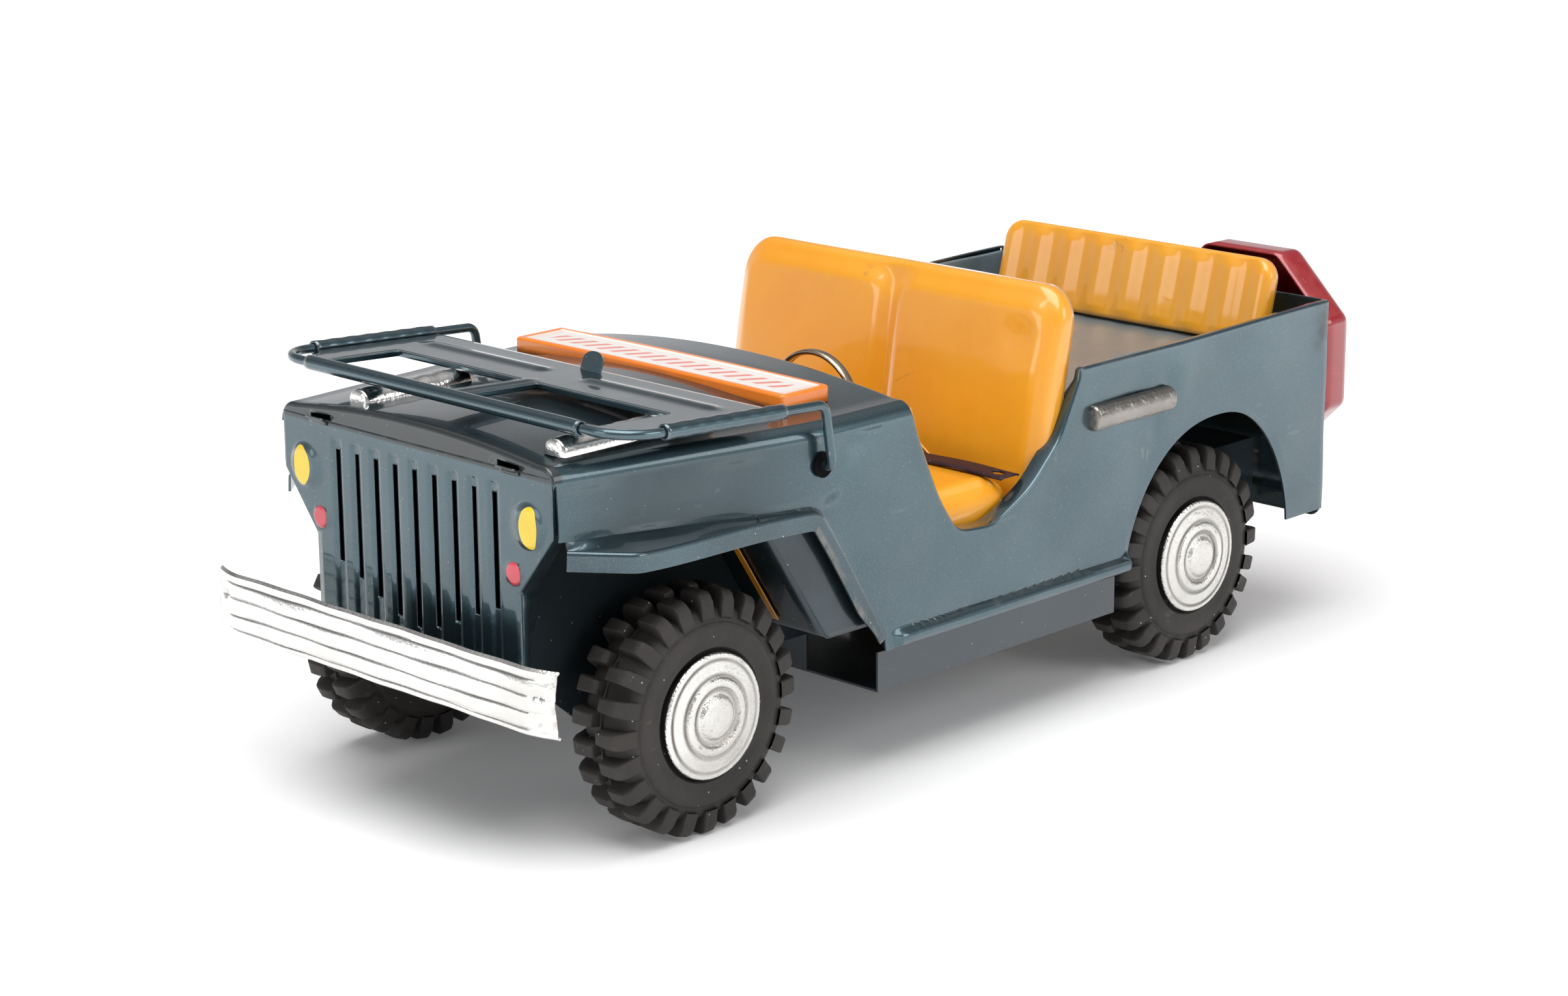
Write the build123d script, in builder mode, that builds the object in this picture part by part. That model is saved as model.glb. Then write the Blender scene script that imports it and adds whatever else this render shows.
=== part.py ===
"""Friction tin car: an open four-wheeled field car in pressed tinplate.

Frame: X forward, Y to the car's left, Z up. The origin is on the floor, under the middle
of the car's length, on its centre plane. Lengths are in millimetres.
"""
from build123d import *
from math import atan2, cos, pi, radians, sin, sqrt, tan
import os

os.makedirs("parts", exist_ok=True)

# ---- driving sizes ----------------------------------------------------------------------
sheet = 0.4              # tinplate thickness
seam = 0.15              # gap between pieces that lie side by side
running_fit = 0.05       # radial clearance of a turning shaft in its hole
wheelbase = 122.8        # between the two axles
front_reach = 35.8       # front axle to the front of the bumper
rear_reach = 47.2        # rear axle to the back of the spare wheel cover
body_half = 40.5         # half width of the tub
hood_half = 33.0         # half width of the hood at the grille
hood_height = 65.4       # top of the hood on the centre line
crown_radius = 300.0     # crown of the hood across the car
tub_height = 60.4        # top edge of the rear tub
sill_height = 21.6       # lower edge of the body sides
pan_height = 14.4        # underside of the chassis pan
tyre_radius = 20.0       # over the tread lugs
tyre_width = 11.6
tyre_outer_y = 39.3      # outer face of a tyre, from the centre plane
axle_radius = 1.25
wire_radius = 0.8        # windscreen wire
wheel_lugs = 24

axle_height = tyre_radius
front_x = (wheelbase + rear_reach - front_reach) / 2    # front axle
rear_x = front_x - wheelbase                            # rear axle
grille_x = front_x + 26.0                               # front face of the body
cowl_x = front_x - 44.8                                 # rear edge of the cowl
tail_x = rear_x - 37.4                                  # rear end of the tub sides
left_side = Plane.XZ.offset(-body_half - 10)            # side views are drawn here
across = 2 * body_half + 20                             # and carried this far across the car


def save(piece, name):
    """Label a finished piece and write it."""
    piece.label = name
    export_step(piece, f"parts/{name}.step")


def prism(plane, points, depth):
    """Straight prism on a closed outline, raised from its plane by a depth."""
    with BuildPart() as solid:
        with BuildSketch(plane):
            with BuildLine():
                Polyline(*points, close=True)
            make_face()
        extrude(amount=depth)
    return solid.part


def block(low, high):
    """Plain block between two opposite corners."""
    size = [b - a for a, b in zip(low, high)]
    with BuildPart() as solid:
        with Locations(tuple((a + b) / 2 for a, b in zip(low, high))):
            Box(*size)
    return solid.part


def rod(start, end, radius):
    """Round rod between two points that lie on one axis direction."""
    way = Vector(*end) - Vector(*start)
    with BuildPart() as solid:
        with BuildSketch(Plane(origin=start, z_dir=way)):
            Circle(radius)
        extrude(amount=way.length)
    return solid.part


def mirrored(piece):
    """The same pressing for the other side of the car."""
    return mirror(piece, about=Plane.XZ)


# ---- body shell -------------------------------------------------------------------------
# One stamping: the crowned hood, the cowl and both sides of the tub, open at the rear.
taper_x = front_x - 24.0           # where the hood reaches the full width
shoulder = 2.6                     # rounding between hood top and side
lip_height = 3.4                   # folded lip over the grille
fender_drop = 52.2                 # height of the fender where it meets the grille
fender_bend = (front_x - 23.6, 49.3)
fender_foot = (front_x - 38.9, 24.6)
fender_bend_radius = 7.5
door_back = front_x - 88.4         # rear top of the door opening
arch_front = rear_x + 21.6         # rear wheel arch
arch_rear = rear_x - 26.0
arch_top = 45.8
screen_pivot_x = front_x - 24.5
screen_pivot_z = 56.0
wire_hole = 1.7
bead_radius = 1.5                  # sill bead
handle_x = rear_x + 21.3           # door handle pressing
handle_z = 51.6
handle_length = 22.0


def hood_section(x, half, inset):
    """Cross-section of the body at x: upright sides, rounded shoulders, crowned top."""
    top = hood_height - inset
    side = half - inset
    drop = crown_radius - sqrt(crown_radius**2 - side**2)
    with BuildSketch(Plane.YZ.offset(x)) as section:
        with BuildLine():
            ThreePointArc((-side, top - drop), (0, top), (side, top - drop))
            Polyline((side, top - drop), (side, 10), (-side, 10), (-side, top - drop))
        make_face()
        fillet(section.vertices().group_by(Axis.Y)[-1], shoulder - inset)
    return section.sketch


def crowned_block(inset, back):
    """Closed block of the body: the hood widens to the cowl, then the sides run parallel."""
    with BuildPart() as crowned:
        add(hood_section(back, body_half, inset))
        add(hood_section(taper_x, body_half, inset))
        add(hood_section(grille_x - inset, hood_half, inset))
        loft(ruled=True)
    return crowned.part


def fender_line(offset):
    """Side view line of the fender: along the hood, round the bend and down to the sill."""
    start = (grille_x + 4, fender_drop + 0.24 - offset)
    slope = atan2(fender_bend[1] - fender_foot[1], fender_bend[0] - fender_foot[0])
    reach = offset * tan((pi / 2 - slope / 2 + 0.035) - pi / 4)
    bend = (fender_bend[0] + reach, fender_bend[1] - offset)
    foot = (fender_foot[0] + offset * sin(slope), fender_foot[1] - offset * cos(slope))
    low = (foot[0] - 12 * cos(slope), foot[1] - 12 * sin(slope))
    return start, bend, low


def side_profile():
    """Side view of the metal that is left in the body sides and hood."""
    start, bend, low = fender_line(-seam)
    with BuildSketch(left_side) as kept:
        with BuildLine():
            FilletPolyline(start, bend, low, radius=fender_bend_radius)
            Polyline(
                low, (low[0] - 2, 5), (tail_x, 5), (tail_x, tub_height + 0.8),
                (door_back - 0.6, tub_height), (cowl_x, tub_height), (cowl_x, 80),
                (start[0], 80), start)
        make_face()
        # everything below the sill goes
        with Locations((0, sill_height / 2)):
            Rectangle(400, sill_height, mode=Mode.SUBTRACT)
        # rear wheel arch: a round top on splayed sides
        with BuildLine():
            Polyline((arch_front, 0), (arch_front, 24), (arch_front - 3.9, 35.5))
            ThreePointArc((arch_front - 3.9, 35.5), (rear_x - 3.5, arch_top), (arch_rear + 4.6, 36.2))
            Polyline((arch_rear + 4.6, 36.2), (arch_rear + 1.2, 26.5), (arch_rear - 1.6, 22.4))
            Polyline((arch_rear - 1.6, 22.4), (arch_rear - 1.6, 0), (arch_front, 0))
        make_face(mode=Mode.SUBTRACT)
        add(door_region(), mode=Mode.SUBTRACT)
    return kept.sketch


def door_region():
    """Scooped opening for getting in."""
    with BuildSketch(left_side) as door:
        with BuildLine():
            Spline(
                (cowl_x, 62.0), (front_x - 46.6, 56.0), (front_x - 51.4, 45.6),
                (front_x - 60.6, 37.6), (front_x - 75.5, 41.6), (front_x - 82.9, 48.6),
                (door_back, 59.0))
            Polyline((door_back, 59.0), (door_back - 1, 90), (cowl_x, 90), (cowl_x, 62.0))
        make_face()
    return door.sketch


with BuildPart() as body_shell:
    add(crowned_block(0, tail_x))
    add(crowned_block(sheet, tail_x - 5), mode=Mode.SUBTRACT)
    # the sides stop behind the grille; only the folded lip reaches its front face
    with BuildSketch(Plane.YZ.offset(grille_x - sheet - seam)):
        with Locations((0, (hood_height - lip_height) / 2)):
            Rectangle(4 * body_half, hood_height - lip_height)
    extrude(amount=10, mode=Mode.SUBTRACT)
    # side view trimmed to the fenders, sill, rear arch, door opening and tub edge
    with BuildSketch(left_side):
        with Locations((front_x, 0)):
            Rectangle(3 * wheelbase, 3 * wheelbase)
        add(side_profile(), mode=Mode.SUBTRACT)
    extrude(amount=across, mode=Mode.SUBTRACT)
    # holes that the windscreen wire turns in, and slots for the door handles' tabs
    with BuildSketch(left_side):
        with Locations((screen_pivot_x, screen_pivot_z)):
            Circle(wire_hole)
        for end in (-1, 1):
            with Locations((handle_x + end * handle_length / 2, handle_z)):
                Rectangle(1.6, 2.4)
    extrude(amount=across, mode=Mode.SUBTRACT)
    # half-round bead swaged along the sill
    for side in (-1, 1):
        with BuildSketch(Plane.YZ.offset(arch_front - 1.5)):
            with Locations((side * (body_half - sheet / 2), sill_height + bead_radius)):
                Circle(bead_radius)
            with Locations((side * (body_half - sheet - 5), sill_height + bead_radius)):
                Rectangle(10, 10, mode=Mode.SUBTRACT)
        extrude(amount=front_x - 41.7 - arch_front)
save(body_shell.part, "body_shell")


# ---- grille -----------------------------------------------------------------------------
# Flat pressing with nine air slots, embossed lamps and edges turned back inside the hood.
grille_foot = 26.6                 # stands on the chassis tongue
grille_waist = 24.85               # half width below the bevels
grille_top = hood_height - lip_height - seam
grille_return = 4.0                # depth of the edges turned back
slot_pitch = 4.78
slot_width = 1.1
slot_top = 57.6
slot_bottoms = [31.9, 32.9, 34.9, 37.0, 39.0]     # from the middle slot outwards
lamps = [(27.6, 53.6, 3.4), (23.7, 45.6, 1.8)]    # y, z and radius of the embossed lamps


def grille_block(inset, x, depth):
    """Square shoulders under the hood lip, bevelled in to a narrower foot."""
    waist = grille_waist - inset
    shoulders = hood_half - inset
    left = [
        (waist, grille_foot - inset), (waist, 42.75 - inset / 2), (shoulders, 53.0 - inset / 2),
        (shoulders, grille_top)]
    right = [(-y, z) for y, z in reversed(left)]
    return prism(Plane.YZ.offset(x), left + right, depth)


with BuildPart() as grille_panel:
    add(grille_block(0, grille_x - sheet, sheet))
    add(grille_block(sheet + seam, grille_x - grille_return, grille_return - sheet))
    add(grille_block(2 * sheet + seam, grille_x - grille_return - 1, grille_return + 1 - sheet),
        mode=Mode.SUBTRACT)
    for index in range(-4, 5):
        low = (grille_x - 2, index * slot_pitch - slot_width / 2, slot_bottoms[abs(index)])
        high = (grille_x + 2, index * slot_pitch + slot_width / 2, slot_top)
        add(block(low, high), mode=Mode.SUBTRACT)
    for side in (-1, 1):
        for y, z, radius in lamps:
            add(rod((grille_x - sheet / 2, side * y, z), (grille_x + 0.5, side * y, z), radius))
save(grille_panel.part, "grille_panel")


# ---- front bumper -----------------------------------------------------------------------
# Plated strip with pressed ribs, carried by the chassis tongue.
bumper_half = 41.4
bumper_low, bumper_high = 24.8, 35.5
bumper_thick = 0.6
rib_height = 0.5
rib_width = 1.2
bumper_x = front_x + front_reach - bumper_thick - rib_height     # back of the strip

with BuildPart() as front_bumper:
    back = (bumper_x, -bumper_half, bumper_low)
    add(block(back, (bumper_x + bumper_thick, bumper_half, bumper_high)))
    for share in (0.14, 0.38, 0.62, 0.86):
        z = bumper_low + share * (bumper_high - bumper_low)
        low = (bumper_x + bumper_thick / 2, -bumper_half, z - rib_width / 2)
        high = (bumper_x + bumper_thick + rib_height, bumper_half, z + rib_width / 2)
        add(block(low, high))
save(front_bumper.part, "front_bumper")


# ---- fenders ----------------------------------------------------------------------------
# Flat strip over each front wheel with its outer and front edges folded down, its tabs
# held in slots along the foot of the hood side.
fender_outer = body_half + 0.6
fender_depth = 3.3                           # height of the folded edge


def fender_block(low, high, edge):
    """Bent strip between two depths below the fender's top face, up to an outer edge."""
    with BuildPart() as strip:
        with BuildSketch(Plane.XZ.offset(-edge)):
            with BuildLine():
                top = fender_line(low)
                foot = fender_line(high)
                FilletPolyline(*top, radius=fender_bend_radius)
                Line(top[2], foot[2])
                FilletPolyline(*reversed(foot), radius=fender_bend_radius - high)
                Line(foot[0], top[0])
            make_face()
        extrude(amount=edge - hood_half)
    return strip.part


def fender_waste(inset):
    """Prisms that trim a strip to the fender's plan: slanted nose, inner edge and foot."""
    tip = grille_x - 2.0 - inset
    inner = body_half + seam
    nose = [(tip + 40, -5), (tip + 40, 80), (tip - 48, 80), (tip, hood_half + 0.7), (tip, -5)]
    side = [
        (tip + 1, hood_half + 0.7 - 0.15), (taper_x, inner), (front_x - 80, inner),
        (front_x - 80, -5), (tip + 1, -5)]
    return [prism(Plane.XY, nose, 80), prism(Plane.XY, side, 80)]


with BuildPart() as fender_strip:
    add(fender_block(0, fender_depth, fender_outer))
    for waste in fender_waste(0):
        add(waste, mode=Mode.SUBTRACT)
with BuildPart() as fender_hollow:
    add(fender_block(sheet, fender_depth + 3, fender_outer - sheet))
    add(fender_waste(sheet)[0], mode=Mode.SUBTRACT)
with BuildPart() as fender:
    add(fender_strip.part - fender_hollow.part)
    add(block((front_x - 90, -5, 0), (front_x + 90, 90, fender_foot[1])), mode=Mode.SUBTRACT)
save(fender.part, "fender_left")
save(mirrored(fender.part), "fender_right")


# ---- chassis ----------------------------------------------------------------------------
# Folded pan: a wide tray between the wheels, a tongue to the bumper and two rear rails.
tray_front = front_x - 38.3
tray_back = rear_x + 23.0
tray_half = 39.3
tray_rim = 21.3
tongue_half = 23.0
tongue_z = 26.0
rail_half = 25.0
rail_top = 33.0
ear_low = 15.0
shaft_hole = axle_radius + running_fit
motor_gap = 15.0                        # half width of the cut in the pan for the motor


def ears(x, front, back, half, top, front_z, back_z):
    """Pair of upright rails that dip down around an axle at x."""
    outline = [
        (front, top), (front, front_z), (x + 19, front_z), (x + 9, ear_low), (x - 9, ear_low),
        (x - 19, back_z), (back, back_z), (back, top)]
    with BuildPart() as pair:
        for side in (half, -half + sheet):
            add(prism(Plane.XZ.offset(-side), outline, sheet))
        add(rod((x, -half - 1, axle_height), (x, half + 1, axle_height), shaft_hole),
            mode=Mode.SUBTRACT)
    return pair.part


with BuildPart() as chassis_pan:
    # tray with upturned sides and a rear wall
    add(block((tray_back, -tray_half, pan_height), (tray_front, tray_half, tray_rim)))
    add(block((tray_back + sheet, -tray_half + sheet, pan_height + sheet),
              (tray_front + 1, tray_half - sheet, tray_rim + 1)), mode=Mode.SUBTRACT)
    # front wall, tongue and its rails
    add(block((tray_front - sheet, -tongue_half, pan_height), (tray_front, tongue_half, tongue_z)))
    add(block((tray_front - sheet, -tongue_half, tongue_z),
              (bumper_x - seam, tongue_half, tongue_z + sheet)))
    add(ears(front_x, grille_x - 1, tray_front - sheet, tongue_half, tongue_z + sheet, 23.5, 21.0))
    add(block((bumper_x - seam - 0.6, -12, tongue_z), (bumper_x - seam, 12, bumper_high - 1.5)))
    # rear wall, rails and cross plate
    add(block((tray_back, -rail_half, pan_height), (tray_back + sheet, rail_half, rail_top)))
    add(ears(rear_x, tray_back + sheet, tail_x + 1, rail_half, rail_top, 21.0, 21.0))
    add(block((tail_x + 1, -rail_half, rail_top - sheet), (rear_x - 14, rail_half, rail_top)))
    add(block((rear_x - 14, -motor_gap, 0), (rear_x + 32.8, motor_gap, rail_top + 1)),
        mode=Mode.SUBTRACT)
save(chassis_pan.part, "chassis_pan")


# ---- cabin ------------------------------------------------------------------------------
# Enamelled sheet with the toe board, floor and dashboard, closed off from the motor.
cabin_half = body_half - sheet - 1.4
floor_z = tongue_z + sheet + 0.6
toe_x = front_x - 26.5
dash_x = front_x - 46.6
steer_y = 14.2
steer_z = 56.6
column_radius = 0.8

with BuildPart() as cabin_floor:
    toe = [
        (toe_x + 10.5, floor_z + 19), (toe_x, floor_z), (front_x - 84, floor_z),
        (front_x - 84, floor_z + sheet), (toe_x - 0.2, floor_z + sheet),
        (toe_x + 10.1, floor_z + 19)]
    add(prism(Plane.XZ.offset(-cabin_half + 4), toe, 2 * cabin_half - 8))
save(cabin_floor.part, "cabin_floor")

with BuildPart() as dash_panel:
    add(block((dash_x, -cabin_half, 46), (dash_x + sheet, cabin_half, 61)))
    for side in (-1, 1):
        low = (dash_x - 4, min(side * cabin_half, side * (cabin_half - sheet)), 47.5)
        high = (dash_x + sheet, max(side * cabin_half, side * (cabin_half - sheet)), 61)
        add(block(low, high))
    add(rod((dash_x - 1, steer_y, steer_z), (dash_x + 1, steer_y, steer_z),
            column_radius + running_fit), mode=Mode.SUBTRACT)
save(dash_panel.part, "dash_panel")


# ---- steering wheel ---------------------------------------------------------------------
# Plated strip bent into a ring, with three spokes riveted to a short column in the dash.
steer_radius = 10.0
steer_band = 1.8
steer_x = dash_x - 4.2                    # rear face of the ring
collar_radius = 2.0

with BuildPart() as steering_wheel:
    centre = (steer_x, steer_y, steer_z)
    face = (steer_x + steer_band, steer_y, steer_z)
    add(rod(centre, face, steer_radius))
    add(rod((steer_x - 1, steer_y, steer_z), (steer_x + 3, steer_y, steer_z),
            steer_radius - 0.5), mode=Mode.SUBTRACT)
    low, high = steer_x + 0.6, steer_x + 1.2
    reach = steer_radius - 0.2
    add(block((low, steer_y - reach, steer_z - 0.9), (high, steer_y + reach, steer_z + 0.9)))
    add(block((low, steer_y - 0.9, steer_z - reach), (high, steer_y + 0.9, steer_z)))
    add(rod((low, steer_y, steer_z), (high, steer_y, steer_z), 2.4))
    add(rod((steer_x, steer_y, steer_z), face, column_radius), mode=Mode.SUBTRACT)
save(steering_wheel.part, "steering_wheel")

with BuildPart() as steering_column:
    add(rod((steer_x + 0.2, steer_y, steer_z), (dash_x + 2.6, steer_y, steer_z), column_radius))
    # collars each side of the dash keep the column in its hole
    for start in (dash_x - 0.9, dash_x + sheet + 0.2):
        add(rod((start, steer_y, steer_z), (start + 0.7, steer_y, steer_z), collar_radius))
save(steering_column.part, "steering_column")


# ---- front seat -------------------------------------------------------------------------
# Enamelled pressings: a bull-nosed cushion and a leaning back with two raised pads.
seat_front, seat_back = front_x - 54.0, front_x - 76.4
seat_half = 36.5
cushion_top = 43.5
back_half = 38.4
lean = 11.0                             # degrees that the back leans
back_foot = (front_x - 77.2, 27.8)
back_height = 48.0
pad_foot = 17.0                         # where the raised pads begin, up the back


def leaning(x, z, angle):
    """Plane on the front of a leaning back: local x to the car's left, local y up it."""
    up = (-sin(radians(angle)), 0, cos(radians(angle)))
    front = (cos(radians(angle)), 0, sin(radians(angle)))
    return Plane(origin=(x, 0, z), x_dir=Vector(*up).cross(Vector(*front)), z_dir=front)


def bullnose(inset):
    """Cushion with rounded edges, open below where it sits on the floor."""
    low = floor_z + sheet + seam - (1 if inset else 0)
    size = (seat_front - seat_back - 2 * inset, 2 * (seat_half - inset), cushion_top - inset - low)
    with BuildPart() as cushion:
        with Locations(((seat_front + seat_back) / 2, 0, low + size[2] / 2)):
            Box(*size)
        top = cushion.faces().sort_by(Axis.Z)[-1]
        fillet(top.edges(), 4.0 - inset)
    return cushion.part


with BuildPart() as front_seat_cushion:
    add(bullnose(0))
    add(bullnose(sheet), mode=Mode.SUBTRACT)
save(front_seat_cushion.part, "front_seat_cushion")


def rounded_panel(plane, width, height, corner, depth):
    """Panel on a plane, standing on its origin, with rounded top corners."""
    half = width / 2
    with BuildPart() as panel:
        with BuildSketch(plane):
            with BuildLine():
                Polyline((-half, height - corner), (-half, 0), (half, 0), (half, height - corner))
                RadiusArc((half, height - corner), (half - corner, height), -corner)
                Line((half - corner, height), (corner - half, height))
                RadiusArc((corner - half, height), (-half, height - corner), -corner)
            make_face()
        extrude(amount=depth)
    return panel.part


seat_plane = leaning(*back_foot, lean)
with BuildPart() as front_seat_back:
    add(rounded_panel(seat_plane.offset(-2.2), 2 * back_half, back_height, 5, 2.2))
    add(rounded_panel(seat_plane.offset(-3), 2 * (back_half - sheet), back_height - sheet, 4.6,
                      3 - sheet), mode=Mode.SUBTRACT)
    for side in (-1, 1):
        pad = Plane(origin=seat_plane.offset(-0.2).from_local_coords((side * 18.9, pad_foot, 0)),
                    x_dir=seat_plane.x_dir, z_dir=seat_plane.z_dir)
        add(rounded_panel(pad, 35.4, back_height - pad_foot - 2, 4, 1.2))
save(front_seat_back.part, "front_seat_back")

with BuildPart() as seat_strap:
    strap_low = cushion_top + 0.1
    add(block((seat_back + 0.2, -37, strap_low), (seat_back + 5.0, 37, strap_low + 0.4)))
    for side in (-1, 1):
        hole = (seat_back + 2.6, side * 34.3)
        add(rod((*hole, strap_low - 1), (*hole, strap_low + 1), 1.2), mode=Mode.SUBTRACT)
save(seat_strap.part, "seat_strap")


# ---- rear deck and seat -----------------------------------------------------------------
# Shallow tray over the motor, and a fluted seat back standing at its rear end.
deck_z = 52.6
deck_front, deck_back = front_x - 90.6, tail_x + 0.6
deck_half = body_half - sheet - 1.4
rear_half = 32.6
rear_lean = 15.0
flutes = 8

with BuildPart() as rear_deck:
    add(block((deck_back, -deck_half, deck_z - 4), (deck_front, deck_half, tub_height + 0.5)))
    add(block((deck_back - 1, -deck_half + sheet, deck_z + sheet),
              (deck_front + 1, deck_half - sheet, 80)), mode=Mode.SUBTRACT)
    add(block((deck_back - 1, -deck_half - 1, 0), (deck_front - sheet, deck_half + 1, deck_z)),
        mode=Mode.SUBTRACT)
save(rear_deck.part, "rear_deck")

rear_plane = leaning(rear_x - 26.8, deck_z + sheet + seam + 0.5, rear_lean)
with BuildPart() as rear_seat_back:
    add(rounded_panel(rear_plane.offset(-2.0), 2 * rear_half, 16.2, 4, 2.0))
    add(rounded_panel(rear_plane.offset(-3), 2 * (rear_half - sheet), 16.2 - sheet, 3.6,
                      3 - sheet), mode=Mode.SUBTRACT)
    pitch = (2 * rear_half - 3) / flutes
    for index in range(flutes):
        middle = (index + 0.5 - flutes / 2) * pitch
        rib = Plane(origin=rear_plane.offset(-0.1).from_local_coords((middle, 0.5, 0)),
                    x_dir=rear_plane.x_dir, z_dir=rear_plane.z_dir)
        add(rounded_panel(rib, pitch - 1.4, 13.5, 1.5, 0.8))
save(rear_seat_back.part, "rear_seat_back")


# ---- tailgate and spare wheel cover -----------------------------------------------------
# Rear panel with its top edge folded forward, and a dished octagonal cover tabbed to it.
cover_y = 19.5
cover_z = 48.7
cover_half = 20.0                       # half the distance across its flats
cover_front = tail_x - seam - sheet - seam
cover_back = rear_x - rear_reach
cover_round = 3.5

with BuildPart() as tailgate:
    gate = (tail_x - seam - sheet, -body_half + 0.4, 19.8)
    add(block(gate, (tail_x - seam, body_half - 0.4, tub_height + 1.2)))
    add(block((tail_x - seam, -body_half + 3, tub_height + 0.9),
              (tail_x + 3, body_half - 3, tub_height + 1.3)))
save(tailgate.part, "tailgate")


def octagon(half, x, depth):
    """Octagonal prism standing on a plane across the car."""
    across_corners = half / cos(pi / 8)
    turns = [pi / 8 + index * pi / 4 for index in range(8)]
    corners = [
        (cover_y + across_corners * cos(turn), cover_z + across_corners * sin(turn))
        for turn in turns]
    return prism(Plane.YZ.offset(x), corners, depth)


def cover_block(inset, front):
    """Octagonal block with its rear edges bevelled, inset all round and at the back."""
    with BuildPart() as dish:
        add(octagon(cover_half - inset, cover_back + inset, front - cover_back - inset))
        chamfer(dish.faces().sort_by(Axis.X)[0].edges(), cover_round - inset / 2)
    return dish.part


with BuildPart() as spare_cover:
    add(cover_block(0, cover_front))
    add(cover_block(sheet, cover_front + 1), mode=Mode.SUBTRACT)
save(spare_cover.part, "spare_cover")


# ---- sign plate -------------------------------------------------------------------------
# Narrow lithographed tray across the cowl, its folded edges tabbed into the hood.
sign_front, sign_back = front_x - 23.6, front_x - 34.4
sign_half = 32.4
sign_top = hood_height + 0.9

with BuildPart() as sign_plate:
    add(block((sign_back, -sign_half, sign_top - 3), (sign_front, sign_half, sign_top)))
    add(block((sign_back + sheet, -sign_half + sheet, 0),
              (sign_front - sheet, sign_half - sheet, sign_top - sheet)), mode=Mode.SUBTRACT)
    add(crowned_block(-seam, tail_x), mode=Mode.SUBTRACT)
save(sign_plate.part, "sign_plate")


# ---- plated half-round pressings --------------------------------------------------------
# The same pressing serves as door handle and as rest for the folded windscreen.
handle_width = 4.6
rest_top = hood_height + 1.1           # level of the two rests on the hood
rest_x = front_x + 10.5
rest_places = {"hood_rest_left": 28.3, "hood_rest_right": -18.7}

for side, name in ((1, "door_handle_left"), (-1, "door_handle_right")):
    with BuildPart() as door_handle:
        y = side * (body_half + seam)
        add(rod((handle_x - handle_length / 2, y, handle_z),
                (handle_x + handle_length / 2, y, handle_z), handle_width / 2))
        low = min(y, y - side * 5)
        add(block((handle_x - 20, low, handle_z - 5), (handle_x + 20, low + 5, handle_z + 5)),
            mode=Mode.SUBTRACT)
    save(door_handle.part, name)

for name, y in rest_places.items():
    with BuildPart() as hood_rest:
        low = rest_top - handle_width / 2
        add(rod((rest_x - handle_length / 2, y, low), (rest_x + handle_length / 2, y, low),
                handle_width / 2))
        add(crowned_block(-seam, tail_x), mode=Mode.SUBTRACT)
    save(hood_rest.part, name)


# ---- windscreen -------------------------------------------------------------------------
# Sheet frame with two panes, its edges rolled round one bent wire whose ends turn in
# through the holes in the body sides. It is stored folded forward on the hood rests.
roll_radius = wire_radius + running_fit + sheet
frame_z = rest_top + seam + roll_radius     # middle of the frame metal, folded
wire_y = body_half + 1.8
wire_front = front_x + 20.0
leg_x = screen_pivot_x + 1.6
apron_back = front_x - 13.5
pane_back, pane_front = front_x + 1.5, front_x + 16.8
pane_inner, pane_outer = 2.0, 33.0
corner_run = 8.0                        # wire left bare round the front corners

with BuildPart() as windscreen_wire:
    ends = [
        (screen_pivot_x, body_half - 2.4, screen_pivot_z), (screen_pivot_x, wire_y, screen_pivot_z),
        (leg_x, wire_y, frame_z), (wire_front, wire_y, frame_z)]
    route = ends + [(x, -y, z) for x, y, z in reversed(ends)]
    with BuildLine() as centre:
        FilletPolyline(*route, radius=[1.2, 2.0, 7.0, 7.0, 2.0, 1.2])
    with BuildSketch(Plane(origin=centre.line @ 0, z_dir=centre.line % 0)):
        Circle(wire_radius)
    sweep()
save(windscreen_wire.part, "windscreen_wire")

with BuildPart() as windscreen_frame:
    half = wire_y - roll_radius + 0.2
    nose = wire_front - roll_radius + 0.2
    corners = [
        (apron_back, half), (wire_front - corner_run, half), (nose, wire_y - corner_run - 1)]
    sheet_plan = corners + [(x, -y) for x, y in reversed(corners)]
    add(prism(Plane.XY.offset(frame_z - sheet / 2), sheet_plan, sheet))
    # edges rolled round the wire
    add(rod((wire_front, 1 - wire_y + corner_run, frame_z),
            (wire_front, wire_y - corner_run - 1, frame_z), roll_radius))
    for side in (-1, 1):
        add(rod((apron_back, side * wire_y, frame_z),
                (wire_front - corner_run, side * wire_y, frame_z), roll_radius))
    bore = wire_radius + running_fit
    add(rod((wire_front, -wire_y, frame_z), (wire_front, wire_y, frame_z), bore),
        mode=Mode.SUBTRACT)
    for side in (-1, 1):
        add(rod((apron_back - 1, side * wire_y, frame_z), (wire_front, side * wire_y, frame_z),
                bore), mode=Mode.SUBTRACT)
        low = min(side * pane_inner, side * pane_outer)
        high = max(side * pane_inner, side * pane_outer)
        add(block((pane_back, low, frame_z - 2), (pane_front, high, frame_z + 2)),
            mode=Mode.SUBTRACT)
    # finger tab in the middle of the apron
    add(block((apron_back + 0.6, -2.4, frame_z), (apron_back + 1.0, 2.4, frame_z + 2.0)))
    add(rod((apron_back + 0.6, 0, frame_z + 2.0), (apron_back + 1.0, 0, frame_z + 2.0), 2.4))
    add(block((apron_back, -3, frame_z - 3), (apron_back + 3, 3, frame_z - sheet / 2)),
        mode=Mode.SUBTRACT)
save(windscreen_frame.part, "windscreen_frame")


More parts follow.
